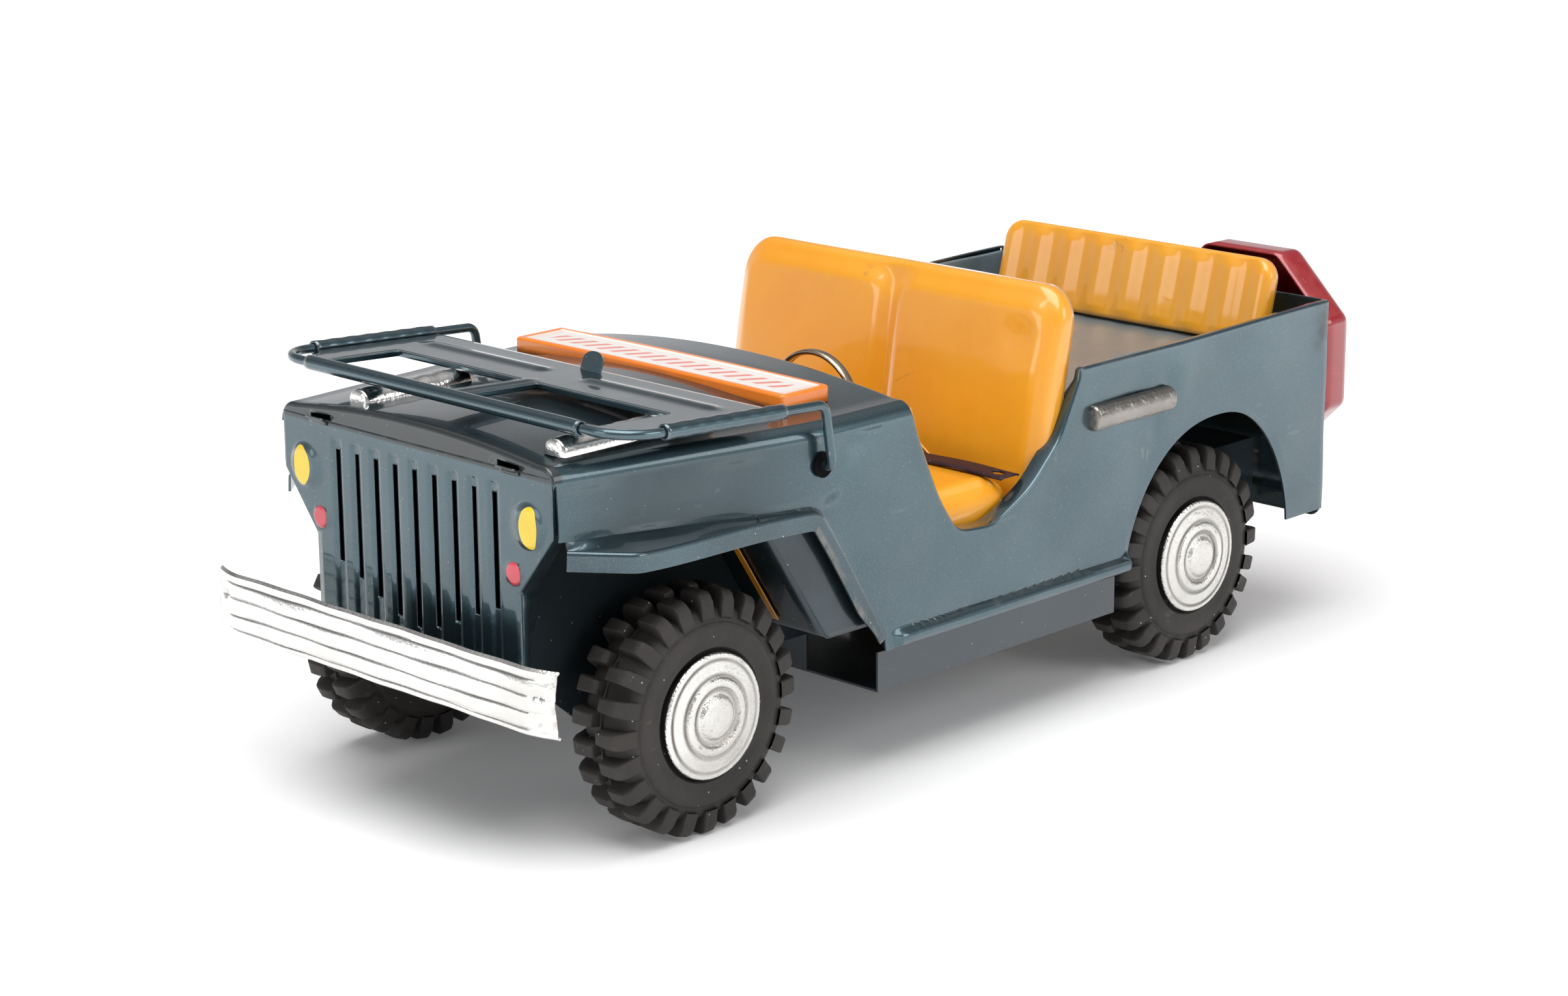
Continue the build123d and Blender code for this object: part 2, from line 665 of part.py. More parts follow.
# ---- wheels and axles -------------------------------------------------------------------
# Rubber tyres stretched over moulded hubs that are pressed on plain steel axles.
hub_radius = 9.3
tread_root = tyre_radius - 2.5
lug_foot = tread_root - 1.0             # the lugs start inside the tread
wall_radius = tyre_radius - 4.8         # where the sidewall turns into the tread
tyre_inner_y = tyre_outer_y - tyre_width
tyre_middle_y = tyre_outer_y - tyre_width / 2
cap_radius = 10.3
cap_proud = 2.0
axle_half = tyre_outer_y - 0.5


def lug_ring(x, low, high, turn):
    """One row of tread lugs between two Y faces, turned by part of a pitch."""
    pitch = 2 * pi / wheel_lugs
    points = []
    for index in range(wheel_lugs):
        middle = (index + turn) * pitch - pi / 2
        for share, radius in ((-0.5, lug_foot), (-0.27, lug_foot), (-0.21, tyre_radius),
                              (0, tyre_radius), (0.21, tyre_radius), (0.27, lug_foot)):
            angle = middle + share * pitch
            points.append((x + radius * cos(angle), axle_height + radius * sin(angle)))
    return prism(Plane.XZ.offset(-high), points, high - low)


def ring(x, profile):
    """Body of revolution about an axle at x, from a profile of (y, radius) points."""
    with BuildPart() as turned:
        with BuildSketch(Plane(origin=(x, 0, axle_height), x_dir=(0, 1, 0), z_dir=(1, 0, 0))):
            with BuildLine():
                Polyline(*profile, close=True)
            make_face()
        revolve(axis=Axis((x, 0, axle_height), (0, 1, 0)))
    return turned.part


def tyre(x):
    """Left tyre: rounded sidewalls, a seam groove and two staggered rows of lugs."""
    inner, outer = tyre_inner_y, tyre_outer_y
    with BuildPart() as rubber:
        add(ring(x, [
            (inner + 1.2, hub_radius), (inner, 11.0), (inner, wall_radius), (inner + 1.6, tread_root),
            (outer - 1.6, tread_root), (outer, wall_radius), (outer, 11.0), (outer - 0.6, 10.4),
            (outer - 0.6, hub_radius)]))
        add(lug_ring(x, inner + 0.5, tyre_middle_y - 0.2, 0))
        add(lug_ring(x, tyre_middle_y + 0.2, outer - 0.5, 0.5))
        add(rod((x, 0, axle_height), (x, 60, axle_height), hub_radius), mode=Mode.SUBTRACT)
    return rubber.part


def hub(x):
    """Left hub: a spool with a web, pressed on the axle inside the tyre."""
    inner, outer = tyre_inner_y + 1.3, tyre_outer_y - 0.7
    return ring(x, [
        (inner, axle_radius), (inner, 3.2), (inner + 3, 3.2), (inner + 3, hub_radius - 1),
        (inner, hub_radius - 1), (inner, hub_radius), (outer, hub_radius), (outer, axle_radius)])


def hub_cap(x):
    """Left hub cap: plated disc with a raised ring and a centre boss."""
    base = tyre_outer_y + 0.05
    proud = cap_proud
    return ring(x, [
        (base, 0), (base, cap_radius), (base + 0.5, cap_radius), (base + 1.0, 9.2),
        (base + 1.0, 6.6), (base + 1.6, 6.0), (base + 1.6, 5.0), (base + 1.1, 4.4),
        (base + 1.1, 3.6), (base + proud, 3.0), (base + proud, 0)])


def spacer(x, inside):
    """Left tube between the chassis rail and the hub."""
    low, high = inside + seam, tyre_inner_y + 1.3 - seam
    return ring(x, [
        (low, axle_radius + running_fit), (low, 2.3), (high, 2.3),
        (high, axle_radius + running_fit)])


for place, x, inside in (("front", front_x, tongue_half), ("rear", rear_x, rail_half)):
    for title, left in (("tyre", tyre(x)), ("hub", hub(x)), ("hub_cap", hub_cap(x)),
                        ("spacer", spacer(x, inside))):
        save(mirrored(left), f"{title}_{place}_right")
        save(left, f"{title}_{place}_left")
    save(rod((x, -axle_half, axle_height), (x, axle_half, axle_height), axle_radius),
         f"axle_{place}")


# ---- friction motor ---------------------------------------------------------------------
# Two side plates on pillars carry the gear train that spins two heavy flywheels.
module = 0.6
drive_teeth, pinion_teeth, idler_teeth = 30, 10, 32
shaft_radius = 0.8
plate_inner, plate_thick = 12.0, 0.8
mesh_slack = 0.06                       # added to the distance between shafts
backlash = 0.12                         # taken off each tooth at the pitch circle
addendum, dedendum = 0.8, 1.15
pressure = radians(20)
flywheel_radius = 11.2
drive_turn, idler_turn = radians(25), radians(20)
idler_reach = module * (drive_teeth + pinion_teeth) / 2 + mesh_slack
fly_reach = module * (idler_teeth + pinion_teeth) / 2 + mesh_slack
idler_x = rear_x + idler_reach * cos(drive_turn)
idler_z = axle_height + idler_reach * sin(drive_turn)
fly_x = idler_x + fly_reach * cos(idler_turn)
fly_z = idler_z + fly_reach * sin(idler_turn)


def half_tooth(teeth, radius):
    """Half angle of a tooth at a radius: involute flanks with a little backlash."""
    pitch_radius = module * teeth / 2
    base = pitch_radius * cos(pressure)
    at_pitch = (pi * module / 2 - backlash) / (2 * pitch_radius)
    flank = max(radius / base, 1.0)
    roll = sqrt(flank**2 - 1)
    involute = roll - atan2(roll, 1)
    angle = at_pitch + tan(pressure) - pressure - involute
    return angle if radius >= base else angle * 0.86


def gear(x, z, teeth, low, high, bore, turn):
    """Spur gear between two Y faces, with one tooth centred on an angle."""
    pitch_radius = module * teeth / 2
    root = pitch_radius - dedendum * module
    tip = pitch_radius + addendum * module
    levels = [root, pitch_radius * cos(pressure) * 0.999, pitch_radius, tip]
    levels = sorted({max(level, root) for level in levels})
    points = []
    for index in range(teeth):
        middle = turn + index * 2 * pi / teeth
        up = [(middle - half_tooth(teeth, level), level) for level in levels]
        down = [(middle + half_tooth(teeth, level), level) for level in reversed(levels)]
        points += [(x + r * cos(a), z + r * sin(a)) for a, r in up + down]
    with BuildPart() as wheel:
        add(prism(Plane.XZ.offset(-high), points, high - low))
        add(rod((x, low - 1, z), (x, high + 1, z), bore), mode=Mode.SUBTRACT)
    return wheel.part


def disc(x, z, low, high, radius, bore):
    """Plain disc between two Y faces."""
    with BuildPart() as wheel:
        add(rod((x, low, z), (x, high, z), radius))
        add(rod((x, low - 1, z), (x, high + 1, z), bore), mode=Mode.SUBTRACT)
    return wheel.part


plate_front = rear_x + 36.2
plate_outline = [
    (rear_x - 10.5, 31), (rear_x - 10.5, 14), (rear_x + 10, 12.6), (tray_back, 15.2),
    (plate_front, 15.2), (plate_front, 41.5), (rear_x + 16.8, 43.5), (rear_x + 2, 36)]
pillars = [(rear_x - 8.6, 28.4), (plate_front - 2.6, 39.6), (plate_front - 2.4, 17.6)]
shafts = {"idler_shaft": (idler_x, idler_z), "flywheel_shaft": (fly_x, fly_z)}

with BuildPart() as motor_plate:
    add(prism(Plane.XZ.offset(-plate_inner - plate_thick), plate_outline, plate_thick))
    add(rod((rear_x, 0, axle_height), (rear_x, 20, axle_height), shaft_hole), mode=Mode.SUBTRACT)
    for x, z in shafts.values():
        add(rod((x, 0, z), (x, 20, z), shaft_radius + running_fit), mode=Mode.SUBTRACT)
save(mirrored(motor_plate.part), "motor_plate_right")
save(motor_plate.part, "motor_plate_left")

with BuildPart() as motor_pillars:
    for x, z in pillars:
        add(rod((x, -plate_inner, z), (x, plate_inner, z), 1.2))
save(motor_pillars.part, "motor_pillars")

for name, (x, z) in shafts.items():
    end = plate_inner + plate_thick + 0.5
    save(rod((x, -end, z), (x, end, z), shaft_radius), name)

half_pitch = pi / pinion_teeth
save(gear(rear_x, axle_height, drive_teeth, 1.5, 4.0, axle_radius, drive_turn), "drive_gear")
save(gear(idler_x, idler_z, pinion_teeth, 1.0, 4.5, shaft_radius, drive_turn + pi + half_pitch),
     "idler_pinion")
save(gear(idler_x, idler_z, idler_teeth, -3.5, -1.0, shaft_radius, idler_turn), "idler_gear")
save(gear(fly_x, fly_z, pinion_teeth, -4.0, -0.5, shaft_radius, idler_turn + pi + half_pitch),
     "flywheel_pinion")
save(disc(fly_x, fly_z, 5.5, 11.0, flywheel_radius, shaft_radius), "flywheel_left")
save(disc(fly_x, fly_z, -11.0, -5.5, flywheel_radius, shaft_radius), "flywheel_right")
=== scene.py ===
from math import cos, pi, radians, sin, tan

import bmesh
import bpy
import numpy as np
from mathutils import Matrix, Vector


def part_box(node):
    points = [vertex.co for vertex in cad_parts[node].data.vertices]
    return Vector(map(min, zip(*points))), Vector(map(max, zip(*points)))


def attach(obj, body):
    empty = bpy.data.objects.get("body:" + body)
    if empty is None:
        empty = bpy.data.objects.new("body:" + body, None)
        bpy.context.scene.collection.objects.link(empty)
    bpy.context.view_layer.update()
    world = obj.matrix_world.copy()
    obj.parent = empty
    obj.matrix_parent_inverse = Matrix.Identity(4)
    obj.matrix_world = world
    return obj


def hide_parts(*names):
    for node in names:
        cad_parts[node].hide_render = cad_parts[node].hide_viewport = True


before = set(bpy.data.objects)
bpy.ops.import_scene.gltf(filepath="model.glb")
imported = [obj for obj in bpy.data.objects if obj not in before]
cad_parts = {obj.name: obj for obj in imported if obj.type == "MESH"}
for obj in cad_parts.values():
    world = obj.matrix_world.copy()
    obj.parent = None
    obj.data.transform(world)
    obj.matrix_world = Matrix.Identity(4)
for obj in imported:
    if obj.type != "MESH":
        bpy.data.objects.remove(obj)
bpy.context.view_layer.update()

# ---- camera, light and floor ----
# A long lens three-quarter view from the car's front left, over a pale floor that falls away
# into a white room, with one large soft key light and two fills.
mm = 0.001


def box_mm(node):
    """Lower and upper corner of a CAD node's box, in mm."""
    return [np.array(corner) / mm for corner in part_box(node)]


def centre(node):
    """Middle of a CAD node's box, in mm."""
    low, high = box_mm(node)
    return (low + high) / 2


front_x = centre("axle_front")[0]
rear_x = centre("axle_rear")[0]
axle_z = centre("axle_front")[2]
azimuth, elevation, roll = radians(134.583), radians(15.21), radians(-0.421)
eye = np.array([front_x + 341.35, 392.111, 188.577])
back = np.array([sin(azimuth) * cos(elevation), -cos(azimuth) * cos(elevation), sin(elevation)])
right = np.cross([0, 0, 1], back)
right = right / np.linalg.norm(right)
upward = np.cross(back, right)
tilted_right = right * cos(roll) + upward * sin(roll)
tilted_up = upward * cos(roll) - right * sin(roll)
camera_data = bpy.data.cameras.new("camera")
camera_data.lens = 76.06
camera_data.sensor_width = 36.0
camera_data.clip_start = 0.01
camera_data.clip_end = 20.0
camera = bpy.data.objects.new("camera", camera_data)
bpy.context.scene.collection.objects.link(camera)
turn = Matrix(np.stack([tilted_right, tilted_up, back], axis=1).tolist()).to_4x4()
camera.matrix_world = Matrix.Translation(Vector(eye * mm)) @ turn
bpy.context.scene.camera = camera


def soft_light(name, place, aim, size, power, tint=(1, 1, 1)):
    """Square area light at a place, in m, turned to face a point."""
    data = bpy.data.lights.new(name, "AREA")
    data.shape = "RECTANGLE"
    data.size, data.size_y = size
    data.energy = power
    data.color = tint
    lamp = bpy.data.objects.new(name, data)
    bpy.context.scene.collection.objects.link(lamp)
    lamp.location = place
    lamp.rotation_euler = (Vector(aim) - Vector(place)).to_track_quat("-Z", "Y").to_euler()
    return lamp


soft_light("key", (0.25, 0.10, 1.00), (0, 0, 0.03), (0.9, 0.9), 10.5)
soft_light("side_fill", (-0.35, 1.0, 0.55), (0, 0, 0.03), (0.7, 0.5), 3.6)
soft_light("nose_fill", (1.1, -0.25, 0.45), (0.05, 0, 0.04), (0.5, 0.5), 1.8)
bpy.context.scene.view_settings.view_transform = "Standard"

# The room is bright overhead and dim near the horizon, which glossy paint reflects.
world = bpy.data.worlds.new("room")
world.use_nodes = True
room = world.node_tree
direction = room.nodes.new("ShaderNodeTexCoord")
parts = room.nodes.new("ShaderNodeSeparateXYZ")
tone = room.nodes.new("ShaderNodeValToRGB")
for place, level in ((0.0, 0.95), (0.22, 0.10), (0.5, 0.20), (1.0, 0.75)):
    stop = tone.color_ramp.elements.new(place) if place not in (0.0, 1.0) else \
        tone.color_ramp.elements[int(place)]
    stop.color = (level, level, level * 1.02, 1)
room.links.new(direction.outputs["Generated"], parts.inputs[0])
room.links.new(parts.outputs["Z"], tone.inputs[0])
room.links.new(tone.outputs[0], room.nodes["Background"].inputs["Color"])
room.nodes["Background"].inputs["Strength"].default_value = 0.7
bpy.context.scene.world = world

# The floor is a matt white sweep that glows a little, more so further from the car: painted light, which
# leaves the floor round the car darker as painted shade.
floor_mesh = bpy.data.meshes.new("floor")
floor_mesh.from_pydata([(-8, -8, 0), (8, -8, 0), (8, 8, 0), (-8, 8, 0)], [], [(0, 1, 2, 3)])
floor = bpy.data.objects.new("floor", floor_mesh)
bpy.context.scene.collection.objects.link(floor)
floor_paint = bpy.data.materials.new("floor")
floor_paint.use_nodes = True
sweep = floor_paint.node_tree
floor_shader = sweep.nodes["Principled BSDF"]
floor_shader.inputs["Base Color"].default_value = (0.92, 0.92, 0.92, 1)
floor_shader.inputs["Roughness"].default_value = 0.9
floor_shader.inputs["Specular IOR Level"].default_value = 0.1
floor_shader.inputs["Emission Strength"].default_value = 1.0
spot = sweep.nodes.new("ShaderNodeTexCoord")
span = sweep.nodes.new("ShaderNodeVectorMath")
span.operation = "LENGTH"
rise = sweep.nodes.new("ShaderNodeMapRange")
rise.interpolation_type = "SMOOTHSTEP"
for label, value in zip(("From Min", "From Max", "To Min", "To Max"), (0.10, 0.70, 0.05, 0.85)):
    rise.inputs[label].default_value = value
sweep.links.new(spot.outputs["Object"], span.inputs[0])
sweep.links.new(span.outputs["Value"], rise.inputs["Value"])
sweep.links.new(rise.outputs[0], floor_shader.inputs["Emission Color"])
floor_mesh.materials.append(floor_paint)


# ---- body shell ----
# One stamping of tinplate: crowned hood, cowl and both tub sides, with turned-in door edges
# and a bead along the sill. It is sprayed in a metallic grey-blue enamel.
tin = 0.4
tub_half = 40.5
hood_half = 33.0
hood_top = 65.4
crown = 600.0                       # height lost by the hood is y squared over this
shoulder = 2.6
grille_x = front_x + 26.0
cowl_x = front_x - 44.8
taper_x = front_x - 24.0
tail_x = rear_x - 37.4
sill_z = 21.6
tub_z = 60.4
door_back = front_x - 88.4


def ramp(value, low, high):
    """Smooth step from 0 at low to 1 at high."""
    share = np.clip((np.asarray(value, float) - low) / (high - low), 0, 1)
    return share * share * (3 - 2 * share)


def half_width(x):
    """Half width of the body: parallel to the taper, then narrowing evenly to the grille."""
    past = np.asarray(x, float) - taper_x
    soft = 3.0
    eased = np.where(past / soft > 30, past, soft * np.log1p(np.exp(np.clip(past / soft, -60, 30))))
    return tub_half - (tub_half - hood_half) / (grille_x - taper_x) * eased


def smooth_line(points, count=600, radius=3.0):
    """Polyline resampled evenly and rounded by a moving average of the given half length."""
    points = np.asarray(points, float)
    steps = np.r_[0, np.cumsum(np.linalg.norm(np.diff(points, axis=0), axis=1))]
    even = np.linspace(0, steps[-1], count)
    line = np.stack([np.interp(even, steps, points[:, k]) for k in range(points.shape[1])], 1)
    reach = max(1, int(radius / steps[-1] * count))
    padded = np.concatenate([
        2 * line[0] - line[reach:0:-1], line, 2 * line[-1] - line[-2:-reach - 2:-1]])
    kernel = np.hanning(2 * reach + 3)[1:-1]
    kernel /= kernel.sum()
    return np.stack([np.convolve(padded[:, k], kernel, "valid") for k in range(line.shape[1])], 1)


fender_line = smooth_line([
    (front_x + 26, 52.2), (front_x - 23.6, 49.3), (front_x - 38.9, 24.6)], 900, 5.0)
door_line = smooth_line([
    (front_x - 44.8, 61.5), (front_x - 46.6, 56.0), (front_x - 51.6, 45.0),
    (front_x - 56.5, 38.0), (front_x - 66.0, 37.2), (front_x - 75.8, 42.0),
    (front_x - 83.2, 49.0), (door_back, 59.0)], 900, 4.5)


def arch_height(x):
    """Rear wheel arch: a rounded hump, steeper behind the wheel than ahead of it."""
    middle = front_x - 127.5
    ahead, behind, rise = 26.3, 21.5, 24.2
    away = np.asarray(x, float) - middle
    share = np.abs(away) / np.where(away > 0, ahead, behind)
    return sill_z + rise * np.clip(1 - np.clip(share, 0, 1) ** 2.3, 0, 1) ** 0.625


def low_edge(x):
    """Lower edge of the body side: the fender line, the sill and the wheel arch."""
    fender = np.interp(x, fender_line[::-1, 0], fender_line[::-1, 1], left=sill_z)
    sill = sill_z - 1.2 * ramp(x, front_x - 150, front_x - 156)
    return np.maximum(np.maximum(arch_height(x), sill), np.where(x > front_x - 39, fender, 0))


def high_edge(x):
    """Upper edge of the body side: the hood's shoulder, the door scoop and the tub's rim."""
    width = half_width(x)
    over_hood = hood_top - width ** 2 / crown - shoulder
    scoop = np.interp(x, door_line[::-1, 0], door_line[::-1, 1])
    rim = tub_z + 0.8 * ramp(x, front_x - 110, front_x - 160)
    side = np.where(x > door_back, scoop, rim)
    blend_low = ramp(x, cowl_x - 1.5, cowl_x)
    return np.where(x >= cowl_x, over_hood, np.minimum(side, over_hood * blend_low
                    + side * (1 - blend_low)))


def grid_mesh(grids):
    """Vertices and quads of several grids of points, each a rows by columns array.

    A grid may come with a mask of the cells that are kept."""
    points, faces, start = [], [], 0
    for grid in grids:
        cells, keep = (grid, None) if isinstance(grid, np.ndarray) else grid
        rows, columns = cells.shape[:2]
        index = start + np.arange(rows * columns).reshape(rows, columns)
        quads = np.stack([index[:-1, :-1], index[:-1, 1:], index[1:, 1:], index[1:, :-1]], -1)
        quads = quads.reshape(-1, 4) if keep is None else quads[keep]
        points.append(cells.reshape(-1, 3))
        faces.append(quads)
        start += rows * columns
    return np.concatenate(points), np.concatenate(faces)


def piece(name, grids, body, material, nodes=(), wall=0.0, bevel=0.0,
          facing=None, sharp=35.0, weld=0.004):
    """Welds grids (in mm) into one mesh piece that rides on a body and replaces CAD nodes.

    wall is the sheet's thickness, laid inwards; facing is the way most faces point."""
    points, faces = grid_mesh(grids)
    mesh = bpy.data.meshes.new(name)
    mesh.from_pydata((points * mm).tolist(), [], faces.tolist())
    work = bmesh.new()
    work.from_mesh(mesh)
    bmesh.ops.remove_doubles(work, verts=work.verts, dist=weld * mm)
    bmesh.ops.dissolve_degenerate(work, edges=work.edges, dist=weld * mm * 0.5)
    loose = [v for v in work.verts if not v.link_faces]
    bmesh.ops.delete(work, geom=loose, context="VERTS")
    bmesh.ops.recalc_face_normals(work, faces=work.faces)
    if facing is not None:
        total = Vector((0, 0, 0))
        for face in work.faces:
            total += face.normal * face.calc_area()
        if total.dot(Vector(facing)) < 0:
            bmesh.ops.reverse_faces(work, faces=work.faces)
    work.to_mesh(mesh)
    work.free()
    mesh.shade_smooth()
    mesh.set_sharp_from_angle(angle=radians(sharp))
    thing = bpy.data.objects.new(name, mesh)
    bpy.context.scene.collection.objects.link(thing)
    mesh.materials.append(material)
    if wall:
        solid = thing.modifiers.new("wall", "SOLIDIFY")
        solid.thickness = wall * mm
        solid.offset = -1
        solid.use_even_offset = False
    if bevel:
        soft = thing.modifiers.new("edges", "BEVEL")
        soft.width = bevel * mm
        soft.segments = 2
        soft.limit_method = "ANGLE"
        soft.angle_limit = radians(50)
    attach(thing, body)
    if nodes:
        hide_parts(*nodes)
    return thing


def node(tree, kind, **values):
    """New shader node. A value whose name starts with set_ is a setting, others are inputs."""
    made = tree.nodes.new(kind)
    for key, value in values.items():
        if key.startswith("set_"):
            setattr(made, key[4:], value)
        else:
            made.inputs[key].default_value = value
    return made


def ranged(tree, socket, low, high, out_low, out_high):
    """Clamped linear remap of a socket."""
    made = node(tree, "ShaderNodeMapRange", set_clamp=True)
    tree.links.new(socket, made.inputs["Value"])
    for label, value in zip(("From Min", "From Max", "To Min", "To Max"),
                            (low, high, out_low, out_high)):
        made.inputs[label].default_value = value
    return made.outputs[0]


def worked(tree, operation, *values):
    """Output of one maths operation on sockets and plain numbers."""
    made = node(tree, "ShaderNodeMath", set_operation=operation)
    for value, socket in zip(values, made.inputs):
        if hasattr(value, "is_output"):
            tree.links.new(value, socket)
        else:
            socket.default_value = value
    return made.outputs[0]


def product(tree, *factors):
    """Product of several mask sockets."""
    result = factors[0]
    for factor in factors[1:]:
        result = worked(tree, "MULTIPLY", result, factor)
    return result


def mixed(tree, factor, first, second):
    """Colour mix of two sockets or plain colours by a factor socket."""
    made = tree.nodes.new("ShaderNodeMix")
    made.data_type = "RGBA"
    for value, socket in ((factor, made.inputs[0]), (first, made.inputs[6]), (second, made.inputs[7])):
        if hasattr(value, "is_output"):
            tree.links.new(value, socket)
        else:
            socket.default_value = (*value, 1)
    return made.outputs[2]


def make_age_group():
    """Node group of a painted or plated surface's age, in Object coordinates per metre.

    It puts out blotches, dust specks, scratches, orange peel as a height, edges that are
    rubbed where a mesh is pointed, and metal flake."""
    group = bpy.data.node_groups.new("age", "ShaderNodeTree")
    for label, value in (("Dust", 0.5), ("Scratch", 0.5), ("Grain", 600.0), ("Edge", 0.5)):
        socket = group.interface.new_socket(label, in_out="INPUT", socket_type="NodeSocketFloat")
        socket.default_value = value
    wanted = group.nodes.new("NodeGroupInput").outputs
    given = group.nodes.new("NodeGroupOutput")
    where = group.nodes.new("ShaderNodeTexCoord").outputs["Object"]

    def pattern(kind, output, **values):
        """Output of a texture node at the piece's own place."""
        made = node(group, kind, **values)
        group.links.new(where, made.inputs["Vector"])
        return made.outputs[output]

    def share(colour):
        """First channel of a cell's random colour."""
        channels = node(group, "ShaderNodeSeparateColor")
        group.links.new(colour, channels.inputs[0])
        return channels.outputs[0]

    speck = {"Scale": 1300.0, "Randomness": 1.0}
    near = ranged(group, pattern("ShaderNodeTexVoronoi", "Distance", **speck), 0.22, 0.08, 0, 1)
    chance = share(pattern("ShaderNodeTexVoronoi", "Color", **speck))
    rare = worked(group, "GREATER_THAN", chance, 0.968)
    stretch = node(group, "ShaderNodeMapping")
    stretch.inputs["Scale"].default_value = (60, 900, 260)
    stretch.inputs["Rotation"].default_value = (0.3, 0.5, 0.4)
    group.links.new(where, stretch.inputs["Vector"])
    lines = node(group, "ShaderNodeTexNoise", Scale=1.6, Detail=2.0)
    group.links.new(stretch.outputs[0], lines.inputs["Vector"])
    peel = node(group, "ShaderNodeTexNoise", Detail=3.0)
    group.links.new(where, peel.inputs["Vector"])
    group.links.new(wanted["Grain"], peel.inputs["Scale"])
    pointed = group.nodes.new("ShaderNodeNewGeometry").outputs["Pointiness"]
    patches = pattern("ShaderNodeTexNoise", "Fac", Scale=330.0, Detail=3.0)
    masks = {
        "Blotch": pattern("ShaderNodeTexNoise", "Fac", Scale=45.0, Detail=5.0, Roughness=0.6),
        "Specks": product(group, near, rare, wanted["Dust"]),
        "Scratches": product(group, ranged(group, lines.outputs["Fac"], 0.70, 0.76, 0, 1),
                             wanted["Scratch"]),
        "Height": peel.outputs["Fac"],
        "Worn Edge": product(group, ranged(group, pointed, 0.53, 0.60, 0, 1),
                             ranged(group, patches, 0.40, 0.62, 0, 1), wanted["Edge"]),
        "Flake": share(pattern("ShaderNodeTexVoronoi", "Color", Scale=8200.0))}
    for label, socket in masks.items():
        group.interface.new_socket(label, in_out="OUTPUT", socket_type="NodeSocketFloat")
        group.links.new(socket, given.inputs[label])
    return group


age = make_age_group()
speck_colour = (0.62, 0.58, 0.52)
stain_and_shade_rough = 0.22                  # how much rougher a stained or painted-shade place is than clean paint
peel_height = 0.0004                # metres


def finish(name, colour, metallic, rough, coat=0.0, coat_rough=0.1, flake=0.0, dust=0.4,
           scratch=0.3, grain=600.0, bump=0.02, deep=None, bare=(0.55, 0.54, 0.52),
           blotch=0.15, spec=0.5, edge=0.0, rub=(0.30, 0.31, 0.31), stains_and_painted_shade=()):
    """Painted or plated tin: blotchy colour, flake, stains and painted shade, dust, scratches and a fine
    bump.

    deep is the blotches' colour, bare the scratches', rub the worn edges'. stains_and_painted_shade holds
    pairs of a function that makes a mask and the colour laid on there, for real stains and for painted
    shade."""
    material = bpy.data.materials.new(name)
    material.use_nodes = True
    tree = material.node_tree
    shader = tree.nodes["Principled BSDF"]
    group = tree.nodes.new("ShaderNodeGroup")
    group.node_tree = age
    for label, value in (("Dust", dust), ("Scratch", scratch), ("Grain", grain), ("Edge", edge)):
        group.inputs[label].default_value = value
    deep = deep or tuple(0.72 * value for value in colour)
    shade = mixed(tree, ranged(tree, group.outputs["Blotch"], 0.3, 0.7, 0, 1), deep, colour)
    if flake:
        bright = tuple(min(1, 0.05 + 2.4 * value) for value in colour)
        shade = mixed(tree, ranged(tree, group.outputs["Flake"], 0.8, 1.0, 0, flake), shade, bright)
    rougher = ranged(
        tree, group.outputs["Blotch"], 0.25, 0.75, rough + blotch / 2, rough - blotch / 3)
    for mask, tint in stains_and_painted_shade:
        cover = mask(tree, group)
        shade = mixed(tree, cover, shade, tint)
        rougher = worked(tree, "MULTIPLY_ADD", cover, stain_and_shade_rough, rougher)
    shade = mixed(tree, group.outputs["Scratches"], shade, bare)
    shade = mixed(tree, group.outputs["Worn Edge"], shade, rub)
    shade = mixed(tree, group.outputs["Specks"], shade, speck_colour)
    tree.links.new(shade, shader.inputs["Base Color"])
    tree.links.new(rougher, shader.inputs["Roughness"])
    shader.inputs["Metallic"].default_value = metallic
    shader.inputs["Coat Weight"].default_value = coat
    shader.inputs["Coat Roughness"].default_value = coat_rough
    shader.inputs["Specular IOR Level"].default_value = spec
    relief = node(tree, "ShaderNodeBump", Strength=bump, Distance=peel_height)
    tree.links.new(group.outputs["Height"], relief.inputs["Height"])
    tree.links.new(relief.outputs[0], shader.inputs["Normal"])
    return material


def beyond(tree, socket, middle):
    """Distance of a socket's value from a middle one, both in metres."""
    return worked(tree, "ABSOLUTE", worked(tree, "SUBTRACT", socket, middle))


def axis_band(tree, label, middle, inner, outer):
    """Mask that is 1 within an inner distance of a place along one axis, 0 past an outer one."""
    split = tree.nodes.new("ShaderNodeSeparateXYZ")
    tree.links.new(tree.nodes.new("ShaderNodeTexCoord").outputs["Object"], split.inputs[0])
    away = beyond(tree, split.outputs[label], middle * mm)
    return ranged(tree, away, inner * mm, outer * mm, 1.0, 0.0)


def rust_by_sign(tree, group):
    """Mask of the rusty band on the hood along the sign plate, broken up by the blotches."""
    return product(
        tree, axis_band(tree, "X", front_x - 30.5, 5.5, 9.5), axis_band(tree, "Z", 68, 4.4, 5.4),
        ranged(tree, group.outputs["Blotch"], 0.42, 0.6, 0.15, 0.9))


def dull_lip(tree, group):
    """Mask of the folded front lip, rubbed to a dull grey."""
    return product(
        tree, axis_band(tree, "X", grille_x + 1.5, 3.0, 3.6), axis_band(tree, "Z", 65, 3.6, 4.0),
        ranged(tree, group.outputs["Blotch"], 0.3, 0.6, 0.8, 1.0))


def tail_grime(tree, group):
    """Mask of the dark rubbed spots at the tub's rear corners."""
    away = ranged(tree, axis_band(tree, "Y", 0, 36.0, 39.5), 0, 1, 1, 0)
    return product(
        tree, away, axis_band(tree, "X", tail_x, 1.5, 6.0),
        ranged(tree, group.outputs["Blotch"], 0.50, 0.62, 0.0, 0.9))


